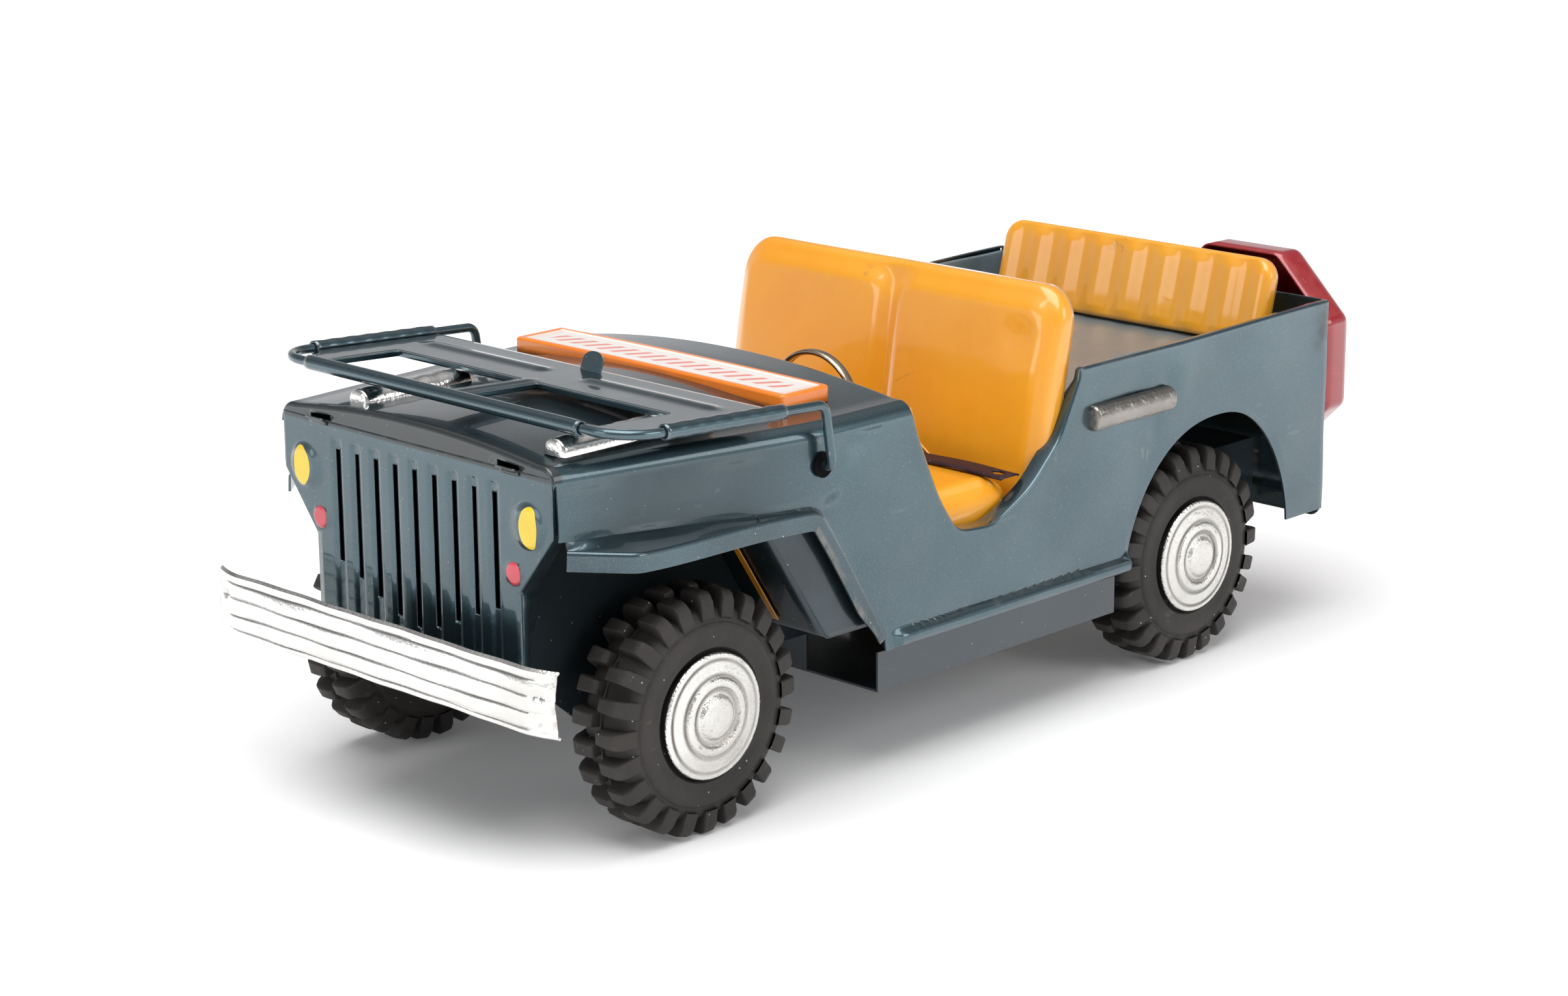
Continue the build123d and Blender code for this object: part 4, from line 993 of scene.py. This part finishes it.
def arc_path(points, radii, fine=14):
    """Polyline through points with each inner corner replaced by a tangent arc."""
    points = [np.array(point, float) for point in points]
    line = [points[0][None]]
    for before, corner, after, radius in zip(points, points[1:], points[2:], radii):
        a = (before - corner) / np.linalg.norm(before - corner)
        b = (after - corner) / np.linalg.norm(after - corner)
        half = np.arccos(np.clip(a @ b, -1, 1)) / 2
        reach = radius / tan(half)
        bisector = (a + b) / np.linalg.norm(a + b)
        middle = corner + bisector * radius / sin(half)
        start, end = corner + a * reach - middle, corner + b * reach - middle
        angle = np.arccos(np.clip(start @ end / radius ** 2, -1, 1))
        part = np.linspace(0, 1, fine)[:, None]
        arc = (np.sin((1 - part) * angle) * start + np.sin(part * angle) * end) / sin(angle)
        line.append(middle + arc)
    line.append(points[-1][None])
    return np.concatenate(line)


def tube(path, radius, sides=20):
    """Round tube along a path, its ring turned as little as possible, with closed ends."""
    way = np.gradient(path, axis=0)
    way /= np.linalg.norm(way, axis=1)[:, None]
    normal = np.zeros_like(path)
    first = np.cross(way[0], [0.3, 0.2, 1.0])
    normal[0] = first / np.linalg.norm(first)
    for index in range(1, len(path)):
        carried = normal[index - 1] - way[index] * (normal[index - 1] @ way[index])
        normal[index] = carried / np.linalg.norm(carried)
    other = np.cross(way, normal)
    turn = np.linspace(0, 2 * pi, sides + 1)[None, :, None]
    radius = np.broadcast_to(radius, len(path))[:, None, None]
    rings = path[:, None] + radius * (np.cos(turn) * normal[:, None] + np.sin(turn) * other[:, None])
    start = np.repeat(path[:1, None], sides + 1, axis=1)
    end = np.repeat(path[-1:, None], sides + 1, axis=1)
    return np.concatenate([start, rings, end])


screen_rise = 0.055                 # the frame rests a little higher at its front


def lift(x):
    """How much higher the frame lies at x than it would if it were level."""
    return screen_rise * (x - front_x - 4)


def tilted(grid):
    """The folded frame's grids, lifted evenly towards the front."""
    lifted = grid.copy()
    lifted[..., 2] += lift(lifted[..., 0])
    return lifted


half_route = [
    (hole_x, tub_half - 2.4, hole_z), (hole_x, wire_y, hole_z),
    (leg_x, wire_y, wire_z + lift(leg_x)), (wire_x, wire_y, wire_z + lift(wire_x))]
route = half_route + [(x, -y, z) for x, y, z in reversed(half_route)]
wire_path = arc_path(route, [1.2, 2.0, 7.0, 7.0, 2.0, 1.2])
piece("windscreen_wire_bend", [tube(wire_path, wire_radius)], "windscreen", screen_paint,
      ["windscreen_wire"])

pane_back, pane_front, pane_in, pane_out = front_x + 1.5, front_x + 16.8, 2.0, 33.0
flat_y = wire_y - roll_radius


def screen_half(x):
    """Half width of the flat sheet: cut back at 45 degrees towards the front corners."""
    return np.interp(x, [front_x + 12, wire_x - roll_radius + 0.2], [flat_y, 33.2])


inner_y = np.unique(np.r_[np.linspace(0, pane_in, 5), np.linspace(pane_in, 4.0, 6),
                          np.linspace(4.0, pane_out, 40)].round(3))
margin = np.linspace(0, 1, 10)[1:]
x = sampled((apron_x, pane_back, 26), (pane_back, pane_front, 24),
            (pane_front, wire_x - roll_radius, 6))
half_y = np.concatenate([np.broadcast_to(inner_y[:, None], (len(inner_y), len(x))),
                         pane_out + (screen_half(x) - pane_out) * margin[:, None]])
grids = []
for side in (1, -1):
    y = side * half_y
    z = wire_z + 0 * y
    # A raised bead runs along the apron, and the centre bar is swaged.
    bead = np.exp(-((x - (front_x - 6.5)) / 1.3) ** 2)
    z = z + 0.45 * bead * ramp(half_y, 36, 33) * ramp(half_y, 4, 6)
    z = z + 0.35 * np.exp(-(half_y / 0.9) ** 2) * ramp(x, front_x - 1, front_x + 2)
    sheet = np.stack([np.broadcast_to(x, y.shape), y, z], -1)
    cell_x = (sheet[:-1, :-1, 0] + sheet[1:, 1:, 0]) / 2
    cell_y = np.abs(sheet[:-1, :-1, 1] + sheet[1:, 1:, 1]) / 2
    hollow = (cell_x > pane_back) & (cell_x < pane_front) & (cell_y > pane_in) & (cell_y < pane_out)
    grids.append((sheet, ~hollow))
    outline = rounded_outline(15.5, -7.65, 7.65, (0.3,) * 4, 120)
    drop = np.array([0, -0.25, -0.6, -1.0])[:, None]
    tuck = np.array([0, 0.12, 0.2, 0.22])[:, None]
    grids.append(np.stack([
        (pane_back + pane_front) / 2 + outline[:, 1] * (1 + tuck / 20),
        side * ((pane_in + pane_out) / 2 + outline[:, 0] * (1 + tuck / 40)),
        wire_z + drop + 0 * outline[:, 0]], -1))
    # The outer edge climbs over the wire and wraps under it.
    turn = np.radians(np.linspace(180, -130, 26))[:, None]
    run = np.linspace(apron_x, front_x + 12, 40)
    wrap = roll_radius * (1 + 0.03 * np.sin(run * 1.7))
    grids.append(np.stack([run + 0 * turn, side * (wire_y + wrap * np.cos(turn)),
                           wire_z + wrap * np.sin(turn)], -1))
turn = np.radians(np.linspace(180, -130, 26))[:, None]
run = np.linspace(-33.0, 33.0, 90)
grids.append(np.stack([wire_x + roll_radius * np.cos(turn) + 0 * run, run + 0 * turn,
                       wire_z + roll_radius * np.sin(turn) + 0 * run], -1))
# A finger tab stands up from the middle of the apron.
tab_outline = rounded_outline(2.5, 0, 5.4, (0.2, 2.4, 2.4, 0.2), 80)
grids.append(pressed_panel(
    tab_outline, lambda a, u, n: np.stack([
        apron_x + 1.9 - 0.24 * u + 0.8 * n, a, wire_z - 0.1 + 0.62 * u + 0.5 * n], -1),
    lambda a, u: 0 * a, 0.0, 0.15, 10))
grids = [(tilted(grid[0]), grid[1]) if isinstance(grid, tuple) else tilted(grid) for grid in grids]
piece("windscreen_frame_skin", grids, "windscreen", screen_paint, ["windscreen_frame"],
      wall=0.35, facing=(0, 0, 1), sharp=40)


# ---- cabin floor and dash ----
# Enamelled sheet: a toe board and floor, and a dash with short side liners behind the door
# edge. The floor's underside and the gussets beside the wheels are the body's blue, darkened as painted
# shade.
cabin_enamel = finish(
    "seat_enamel", (0.86, 0.378, 0.020), 0.0, 0.30, coat=0.9, coat_rough=0.07, dust=0.35,
    scratch=0.05, grain=260, bump=0.05, deep=(0.80, 0.315, 0.012), bare=(0.35, 0.2, 0.08),
    edge=0.5, rub=(0.42, 0.20, 0.05))
keep_cad(cabin_enamel, "cabin_floor")
dash_low, dash_high = box_mm("dash_panel")
y = np.linspace(dash_low[1] + 0.4, dash_high[1] - 0.4, 60)[None, :]
z = np.linspace(dash_low[2], dash_high[2], 24)[:, None]
x = dash_high[0] + 0.35 * np.exp(-((z - dash_low[2] - 4) / 1.2) ** 2)
x = x - 0.3 * np.exp(-((y / 12) ** 2))
grids = [np.stack([x, y + 0 * z, z + 0 * y], -1)]
front_edge = door_line[(door_line[:, 0] > front_x - 52.5)]
for side in (1, -1):
    depth = np.linspace(-0.6, 2.6, 9)[:, None]
    grids.append(np.stack([
        front_edge[:, 0] - depth * 0.9,
        side * (dash_high[1] - 0.15 - 0.12 * depth) + 0 * front_edge[:, 0],
        front_edge[:, 1] - depth * 0.2], -1))
piece("dash_sheet", grids, "car", cabin_enamel, ["dash_panel"], wall=0.3,
      facing=(-1, 0, 0))
floor_low = box_mm("cabin_floor")[0]
toe = np.array([(front_x - 11.5, 50.0), (front_x - 26.6, floor_low[2] - 0.4),
                (front_x - 84, floor_low[2] - 0.4)])
line = smooth_line(toe, 90, 0.8)
for name, y_from, y_to, ahead, paint in (
        ("toe_board_underside", -39.6, 39.6, 0.9, inner_painted_shade),
        ("toe_board_edge", 29.2, 30.5, 1.5, cabin_enamel)):
    y = np.linspace(y_from, y_to, 24)[:, None]
    used = line if paint is inner_painted_shade else line[line[:, 1] > floor_low[2] + 0.5]
    guard = np.stack([used[:, 0] + ahead + 0 * y, y + 0 * used[:, 0], used[:, 1] + 0 * y], -1)
    piece(name, [guard], "car", paint, wall=0.2, facing=(1, 0, -1))
for side, label in ((1, "left"), (-1, "right")):
    z = np.linspace(floor_low[2] - 0.4, 49.0, 24)[:, None]
    rise = (z - floor_low[2] + 0.4) / (50.4 - floor_low[2])
    toe_x = front_x - 26.6 + 15.1 * rise + 0.6
    leg_back = front_x - 38.9 + 15.3 * (z - 24.6) / 24.7 - 4.0
    x = toe_x + (leg_back - toe_x) * np.linspace(0, 1, 20)
    gusset = np.stack([x, side * (half_width(x) - 0.75), z + 0 * x], -1)
    piece(f"toe_gusset_{label}", [gusset], "car", inner_painted_shade, wall=0.2, facing=(0, side, 0))


# ---- steering wheel ----
# Plated strip bent into a ring, with three flat spokes and a cap, on a short column
# through the dash. The plating has gone brownish.
brown_tin = finish(
    "tarnished_plate", (0.60, 0.50, 0.38), 1.0, 0.22, dust=0.4, scratch=0.3, grain=1400,
    bump=0.12, deep=(0.33, 0.25, 0.17), bare=(0.10, 0.07, 0.05), edge=0.6, rub=(0.85, 0.82, 0.76))
steer_low, steer_high = box_mm("steering_wheel")
steer_mid = (steer_low + steer_high) / 2
steer_r = (steer_high[1] - steer_low[1]) / 2


def about_column(profile, turns=96):
    """Surface of revolution about the column's lengthwise axis from (x, radius) points."""
    profile = np.asarray(profile, float)
    angle = np.linspace(0, 2 * pi, turns + 1)[None, :]
    reach = profile[:, 1:]
    return np.stack([profile[:, :1] + 0 * angle, steer_mid[1] + reach * np.cos(angle),
                     steer_mid[2] + reach * np.sin(angle)], -1)


turn = np.linspace(0, 2 * pi, 25)
rim = np.stack([steer_mid[0] + 0.9 * np.sign(np.cos(turn)) * np.abs(np.cos(turn)) ** 0.6,
                steer_r - 0.55 + 0.5 * np.sign(np.sin(turn)) * np.abs(np.sin(turn)) ** 0.8], 1)
grids = [about_column(rim)]
for angle in (0, pi, -pi / 2):
    out = np.linspace(1.5, steer_r - 0.5, 18)[None, :]
    ring = np.linspace(0, 2 * pi, 17)[:, None]
    wide = (0.95 - 0.25 * np.sin(out / steer_r * pi)) * np.cos(ring)
    thick = 0.32 * np.sin(ring) - 0.5 * (1 - out / steer_r) ** 2
    grids.append(np.stack([steer_mid[0] - 0.1 + thick + 0 * out,
                           steer_mid[1] + out * cos(angle) - wide * sin(angle),
                           steer_mid[2] + out * sin(angle) + wide * cos(angle)], -1))
boss = [(steer_mid[0] + 0.6, 0), (steer_mid[0] + 0.6, 2.5), (steer_mid[0] - 0.2, 2.6),
        (steer_mid[0] - 0.7, 2.0), (steer_mid[0] - 0.9, 1.0), (steer_mid[0] - 0.95, 0)]
grids.append(about_column(boss, 40))
piece("steering_wheel_ring", grids, "steering", brown_tin, ["steering_wheel"],
      bevel=0.05)
keep_cad(brown_tin, "steering_column")


# ---- front seat ----
# Two glossy enamelled pressings: a bull-nosed cushion, and a leaning back with two large
# raised pads either side of a soft groove. Their edges fold back all round.
lean = radians(11)
foot_x, foot_z = front_x - 77.2, 27.8
back_half, back_tall = 38.4, 48.0


def on_lean(x, z, angle):
    """Placer for a leaning panel: across the car, up the lean and out of its front face."""
    return lambda a, u, n: np.stack([x - u * sin(angle) + n * cos(angle), a,
                                     z + u * cos(angle) + n * sin(angle)], -1)


def soft_box(a, u, half_wide, low, high, corner, soft):
    """1 inside a rounded box and 0 outside, with an edge that fades over a soft width."""
    du = np.abs(u - (low + high) / 2) - (high - low) / 2 + corner
    da = np.abs(a) - half_wide + corner
    away = np.hypot(np.maximum(da, 0), np.maximum(du, 0)) + np.minimum(np.maximum(da, du), 0) - corner
    return ramp(away, soft / 2, -soft / 2)


def seat_pads(a, u):
    """Two raised pads that rise softly from the border, a groove between them, and dents."""
    pads = 1.6 * soft_box(np.abs(a) - 18.9, u, 17.8, 2.6, back_tall - 2.8, 5.0, 5.0)
    pads = pads + 0.7 * np.cos(np.clip((np.abs(a) - 18.9) / 17.6, -1, 1) * pi / 2) * ramp(u, 3, 20)
    waves = 0.16 * np.sin(a * 0.17 + 1.3) * np.sin(u * 0.21 + 0.5)
    dents = -0.45 * np.exp(-((a - 31) ** 2 + (u - 38) ** 2) / 16)
    dents = dents - 0.3 * np.exp(-((a + 10) ** 2 + (u - 14) ** 2) / 30)
    return pads + waves + dents


back_outline = rounded_outline(back_half, 0.3, back_tall, (1.0, 6.5, 6.5, 1.0), 420)
back_grid = pressed_panel(back_outline, on_lean(foot_x, foot_z, lean), seat_pads, 3.4, 1.5, 80)
piece("front_seat_back_pressing", [back_grid], "car", cabin_enamel, ["front_seat_back"],
      wall=tin, facing=(1, 0, 0), sharp=60)
cushion_low, cushion_high = box_mm("front_seat_cushion")
cushion_mid = (cushion_low + cushion_high) / 2
deep = (cushion_high[0] - cushion_low[0]) / 2


def cushion_pads(a, u):
    """Two low swells, left and right, with a shallow groove between."""
    return 0.7 * soft_box(np.abs(a) - 18.2, u, 15.5, -deep + 2, deep - 2, 4, 4) - 0.75


cushion_outline = rounded_outline(cushion_high[1], -deep, deep, (4.4,) * 4, 320)
cushion_grid = pressed_panel(
    cushion_outline, lambda a, u, n: np.stack([cushion_mid[0] + u, a, cushion_high[2] + n], -1),
    cushion_pads, cushion_high[2] - cushion_low[2] - 0.5, 4.0, 48)
piece("front_seat_cushion_pressing", [cushion_grid], "car", cabin_enamel,
      ["front_seat_cushion"], wall=tin, facing=(0, 0, 1), sharp=60)


# ---- seat strap ----
# Dark purple lacquered tin strap across the back of the cushion, with an oval hole near
# each end where a figure's tab went.
purple_lacquer = finish(
    "purple_enamel", (0.016, 0.005, 0.017), 0.0, 0.48, coat=0.1, dust=0.5, scratch=0.15,
    bump=0.04, edge=0.4, rub=(0.10, 0.07, 0.08), spec=0.25)
strap_low, strap_high = box_mm("seat_strap")
y = np.linspace(strap_low[1], strap_high[1], 150)[None, :]
x = np.linspace(strap_low[0], strap_high[0], 18)[:, None]
z = strap_high[2] + 0.25 + 0.12 * np.sin(y * 0.3) - 0.25 * ramp(np.abs(x - x.mean()), 1.6, 2.6) + 0 * x
cells = np.abs(y[:, :-1] + y[:, 1:]) / 2, (x[:-1] + x[1:]) / 2 - (strap_low[0] + strap_high[0]) / 2
holes = ((cells[0] - 34.3) / 1.5) ** 2 + (cells[1] / 1.1) ** 2 < 1
piece("seat_strap_strip", [(np.stack([x + 0 * y, y + 0 * x, z], -1), ~holes)], "car",
      purple_lacquer, ["seat_strap"], wall=0.35, facing=(0, 0, 1))


# ---- rear deck ----
# Shallow tray over the motor in a lighter, less metallic copy of the body colour, a painted reflection
# of the light the deck shows; its sides turn up inside the tub and roll over at the top, and its front
# edge folds down.
deck_painted_reflection = finish(
    "deck_painted_reflection", (0.190, 0.245, 0.275), 0.2, 0.34, coat=0.5, coat_rough=0.06, flake=0.1,
    dust=0.6, scratch=0.25, grain=1200, bump=0.03, deep=(0.150, 0.200, 0.226), edge=0.5,
    rub=(0.20, 0.21, 0.21))
deck_low, deck_high = box_mm("rear_deck")
deck_z, deck_half = 52.6 + tin, tub_half - tin - 1.0
half_line = smooth_line([
    (0, deck_z), (deck_half - 0.3, deck_z), (deck_half - 0.3, deck_high[2] - 0.4)], 60, 1.1)
turn = np.linspace(pi, 0.3, 10)[1:]
roll_over = np.stack([deck_half + 0.1 + 0.4 * np.cos(turn), deck_high[2] - 0.4 + 0.4 * np.sin(turn)], 1)
half_line = np.concatenate([half_line, roll_over])
line = np.concatenate([half_line[::-1] * [-1, 1], half_line[1:]])
x = np.linspace(deck_low[0], deck_high[0], 120)[:, None]
sag = -0.25 * np.exp(-((x - x.mean()) / 18) ** 2) * (np.abs(line[:, 0]) < deck_half - 2)
z = line[:, 1] + sag + 0.06 * np.sin(x * 0.31) * np.cos(line[:, 0] * 0.17)
deck_grid = np.stack([x + 0 * z, line[:, 0] + 0 * z, z], -1)
apron = rolled(deck_grid[-1], 0.5, 0.5, 6)
hem = apron[-1:].copy()
hem[..., 2] = np.minimum(hem[..., 2], deck_z - 4)
apron = np.concatenate([apron, hem])
on_floor = np.abs(apron[0, :-1, 1]) < deck_half - 2
folded = np.broadcast_to(on_floor, (len(apron) - 1, len(on_floor)))
piece("rear_deck_tray", [deck_grid, (apron, folded)], "car", deck_painted_reflection, ["rear_deck"],
      wall=0.3, facing=(0, 0, 1))


# ---- rear seat back ----
# Leaning enamelled pressing with eight soft upright flutes, tabbed down to the deck.
rear_lean, rear_half, rear_tall = radians(15), 32.6, 16.2


def flute_relief(a, u):
    """Rounded flutes side by side, fading out towards the top and bottom borders."""
    wave = 0.5 + 0.5 * np.cos(a / (2 * rear_half - 3) * 16 * pi)
    return (0.2 + 0.8 * wave) * soft_box(a, u, rear_half - 0.8, 0.2, rear_tall - 1.0, 3.0, 4.0)


rear_outline = rounded_outline(rear_half, 0, rear_tall, (0.8, 4.2, 4.2, 0.8), 420)
rear_grid = pressed_panel(
    rear_outline, on_lean(rear_x - 26.8, deck_z + 0.6, rear_lean), flute_relief, 2.2, 0.8, 60)
piece("rear_seat_back_pressing", [rear_grid], "car", cabin_enamel, ["rear_seat_back"],
      wall=tin, facing=(1, 0, 0), sharp=60)


# ---- tailgate and spare wheel cover ----
# The tailgate is a plain panel in the body colour with a bead round its field. A red dished
# octagon, tabbed to it, stands for the spare wheel.
gate_low, gate_high = box_mm("tailgate")
gate_outline = rounded_outline(gate_high[1], gate_low[2], gate_high[2], (2.5, 1.0, 1.0, 2.5), 300)


def gate_relief(a, u):
    """A raised bead that follows the panel's edge, 5 mm in."""
    away = np.maximum(np.abs(a) - gate_high[1], np.abs(u - (gate_low[2] + gate_high[2]) / 2)
                      - (gate_high[2] - gate_low[2]) / 2)
    return 0.5 * np.exp(-((away + 5) / 1.0) ** 2)


gate_grid = pressed_panel(
    gate_outline, lambda a, u, n: np.stack([gate_low[0] - n, -a, u], -1), gate_relief, 0.0, 0.35, 70)
piece("tailgate_panel", [gate_grid], "car", body_paint, ["tailgate"],
      wall=tin, facing=(-1, 0, 0))
red_enamel = finish(
    "red_enamel", (0.36, 0.012, 0.022), 0.1, 0.25, coat=0.9, coat_rough=0.05, dust=0.35,
    scratch=0.15, bump=0.04, deep=(0.27, 0.008, 0.014), edge=0.35, rub=(0.42, 0.07, 0.06))
cover_low, cover_high = box_mm("spare_cover")
cover_mid = (cover_low + cover_high) / 2
cover_half = (cover_high[1] - cover_low[1]) / 2
corner_turn = pi / 8 + np.arange(9) * pi / 4
corner_line = cover_half / cos(pi / 8) * np.stack([np.cos(corner_turn), np.sin(corner_turn)], 1)
octagon = smooth_line(np.concatenate([corner_line[:-1], corner_line[:2]]), 450, 1.6)
octagon = octagon[25:-25]
start = np.linalg.norm(octagon[200:] - octagon[0], axis=1).argmin() + 200
octagon = np.concatenate([octagon[:start], octagon[:1]])


def cover_relief(a, u):
    """Tyre-like ring pressed in the cover's back: a rounded ring round a flat hub."""
    reach = np.hypot(a, u)
    return 0.1 - 0.9 * np.exp(-((reach - 7.5) / 1.3) ** 2) - 0.5 * (1 - ramp(reach, 5.5, 6.5))


cover_grid = pressed_panel(
    octagon,
    lambda a, u, n: np.stack([cover_low[0] + 0.15 - n, cover_mid[1] - a, cover_mid[2] + u], -1),
    cover_relief, cover_high[0] - cover_low[0], 3.2, 50, heart=(0, 0))
piece("spare_cover_dish", [cover_grid], "car", red_enamel, ["spare_cover"],
      wall=tin, facing=(-1, 0, 0), sharp=50)


# ---- wheels ----
# Each tyre is soft black rubber with two staggered rows of chunky lugs meeting at a thin
# mould line, stretched over a moulded hub. A stamped plated cap is pressed in the middle.
rubber = finish(
    "tyre_rubber", (0.042, 0.037, 0.033), 0.0, 0.60, dust=1.0, scratch=0.35, grain=800,
    bump=0.35, deep=(0.020, 0.018, 0.017), bare=(0.13, 0.12, 0.11), spec=0.35, edge=0.7,
    rub=(0.070, 0.064, 0.058))
moulding = finish(
    "hub_plastic", (0.035, 0.034, 0.034), 0.0, 0.5, dust=0.4, scratch=0.1, grain=500, bump=0.06)
steel = finish(
    "bare_steel", (0.50, 0.48, 0.46), 1.0, 0.36, dust=0.3, scratch=0.6, grain=900, bump=0.1,
    deep=(0.34, 0.31, 0.28), bare=(0.7, 0.69, 0.67))


def groove_grime(x):
    """Maker of the mask of dirt in the rings of a cap whose axle is at x."""
    def mask(tree, group):
        place = tree.nodes.new("ShaderNodeTexCoord")
        shift = node(tree, "ShaderNodeVectorMath", set_operation="SUBTRACT")
        shift.inputs[1].default_value = (x * mm, 0, axle_z * mm)
        tree.links.new(place.outputs["Object"], shift.inputs[0])
        level = node(tree, "ShaderNodeVectorMath", set_operation="MULTIPLY")
        level.inputs[1].default_value = (1, 0, 1)
        tree.links.new(shift.outputs[0], level.inputs[0])
        reach = node(tree, "ShaderNodeVectorMath", set_operation="LENGTH")
        tree.links.new(level.outputs[0], reach.inputs[0])
        total = 0.0
        for radius, half in ((9.15, 0.30), (6.75, 0.35), (4.45, 0.42)):
            away = beyond(tree, reach.outputs["Value"], radius * mm)
            ring = ranged(tree, away, half * 0.3 * mm, half * 1.6 * mm, 0.92, 0.0)
            total = worked(tree, "MAXIMUM", total, ring)
        return product(tree, total, ranged(tree, group.outputs["Blotch"], 0.35, 0.6, 0.35, 1.0))
    return mask


def cap_finish(name, x):
    """Bright stamped plate, pitted and dirty in its grooves."""
    return finish(
        name, (0.90, 0.89, 0.86), 1.0, 0.20, dust=0.5, scratch=0.25, grain=2300, bump=0.5,
        deep=(0.62, 0.60, 0.56), bare=(0.14, 0.11, 0.08), blotch=0.22, edge=0.5,
        rub=(0.20, 0.16, 0.12), stains_and_painted_shade=((groove_grime(x), (0.10, 0.085, 0.07)),))


lug_count = 24
tread_r, lug_r = 17.6, 20.0
tyre_in, tyre_out = 27.7, 39.3
tyre_mid = (tyre_in + tyre_out) / 2


def carcass(x, side):
    """Tyre without its lugs: beads, sidewalls with mould rings, and a crowned tread."""
    wall = np.array([
        (-1.3, 9.3), (-0.9, 10.45), (-0.35, 10.7), (-0.1, 11.0), (-0.3, 11.5), (-0.18, 12.2),
        (-0.02, 13.2), (-0.05, 14.2), (-0.15, 14.7), (-0.42, 15.0), (-0.5, 15.8), (-1.0, 16.7),
        (-2.2, 17.3)]) + [tyre_out, 0]
    crest = np.array([(1.0, 0.0), (0.22, 0.05), (0.12, 0.55)]) + [tyre_mid, tread_r]
    wall = np.concatenate([wall, crest])
    mirror = wall[::-1] * [-1, 1] + [2 * tyre_mid, 0]
    profile = np.concatenate([wall, mirror])
    profile[:, 0] *= side
    return turned(profile, x, 144)


def lugs(x, side, seed):
    """Two rows of tapered bars. Each is a six-column by nine-row cap over the tread: the
    columns taper from a wide foot to a bevelled top, the rows run from the sidewall to
    the mould line. Small seeded changes of turn and length make no two alike."""
    change = np.random.default_rng(seed)
    grids = []
    spacing = 2 * pi / lug_count
    for row, shift in ((1, 0.0), (-1, 0.5)):
        middle = (np.arange(lug_count) + shift) * spacing + change.normal(0, 0.010, lug_count)
        tall = lug_r - np.abs(change.normal(0, 0.07, lug_count))
        across = np.array([0.0, 0.35, 0.9, 1.5, 2.6, 3.8, 4.9, 5.35, 5.5])
        top = np.array([-4.15, -1.4, -0.45, -0.08, 0.0, 0.0, -0.05, -0.35, -2.3])
        base = np.array([-4.4, -4.2, -3.6, -3.0, -2.8, -2.75, -2.75, -2.75, -2.8])
        half = np.array([0.27, 0.25, 0.235, 0.225, 0.215, 0.205, 0.195, 0.19, 0.19])
        column_share = np.array([-1.32, -1.10, -0.94, 0.94, 1.10, 1.32])
        column_level = np.array([0.0, 0.86, 1.0, 1.0, 0.86, 0.0])
        level = base[:, None] + (top - base)[:, None] * column_level
        angle = half[:, None] * column_share * spacing
        for place, height in zip(middle, tall):
            reach = height + level
            turn = place + angle
            y = side * (tyre_mid + row * ((tyre_out - tyre_mid) + 0.02 - across))[:, None] + 0 * turn
            grids.append(np.stack([x + reach * np.cos(turn), y, axle_z + reach * np.sin(turn)], -1))
    return grids


def cap_profile():
    """Hub cap section: rolled edge, dished field, raised ring, recess and domed boss."""
    points = [(0.0, 9.4), (0.0, 10.1), (0.12, 10.28), (0.45, 10.3), (0.75, 10.1), (0.85, 9.7),
              (0.78, 9.2), (0.85, 8.6), (1.02, 7.6), (1.10, 6.9), (1.15, 6.45), (1.45, 6.2),
              (1.62, 5.8), (1.62, 5.35), (1.50, 5.0), (1.15, 4.75), (1.08, 4.3), (1.15, 3.75), (1.5, 3.45),
              (1.8, 3.1), (1.95, 2.4), (2.0, 1.6), (1.97, 0.8), (1.9, 0.3), (1.88, 0.0)]
    return smooth_line(points, 110, 0.16)


seed = 11
for place, x, body in (("front", front_x, "front_wheels"), ("rear", rear_x, "rear_wheels")):
    cap_tin = cap_finish(f"cap_plate_{place}", x)
    for side, label in ((1, "left"), (-1, "right")):
        seed += 1
        facing_out = (0, side, 0)
        tyre_name = f"tyre_{place}_{label}"
        piece(f"{tyre_name}_carcass", [carcass(x, side)], body, rubber, [tyre_name])
        bars = lugs(x, side, seed)
        piece(f"{tyre_name}_lugs", bars, body, rubber, [], weld=0.001, bevel=0.12)
        cap = cap_profile()
        wheel_cap = turned([(side * (tyre_out + 0.05 + up), reach) for up, reach in cap], x)
        piece(f"hub_cap_{place}_{label}_stamping", [wheel_cap], body, cap_tin,
              [f"hub_cap_{place}_{label}"], facing=facing_out)
        keep_cad(moulding, f"hub_{place}_{label}")
        keep_cad(steel, f"spacer_{place}_{label}")
    keep_cad(steel, f"axle_{place}")


# ---- friction motor ----
# Two steel plates on pillars hold a brass gear train and two iron flywheels under the rear
# deck. It is seen only from below and behind.
brass = finish(
    "gear_brass", (0.62, 0.44, 0.16), 1.0, 0.33, dust=0.2, scratch=0.4, bump=0.06)
iron = finish(
    "flywheel_iron", (0.26, 0.25, 0.24), 0.9, 0.45, dust=0.2, scratch=0.5, grain=400, bump=0.12)
keep_cad(steel, "motor_plate_left", "motor_plate_right", "motor_pillars", "idler_shaft",
         "flywheel_shaft")
keep_cad(brass, "drive_gear", "idler_pinion", "idler_gear", "flywheel_pinion")
keep_cad(iron, "flywheel_left", "flywheel_right")
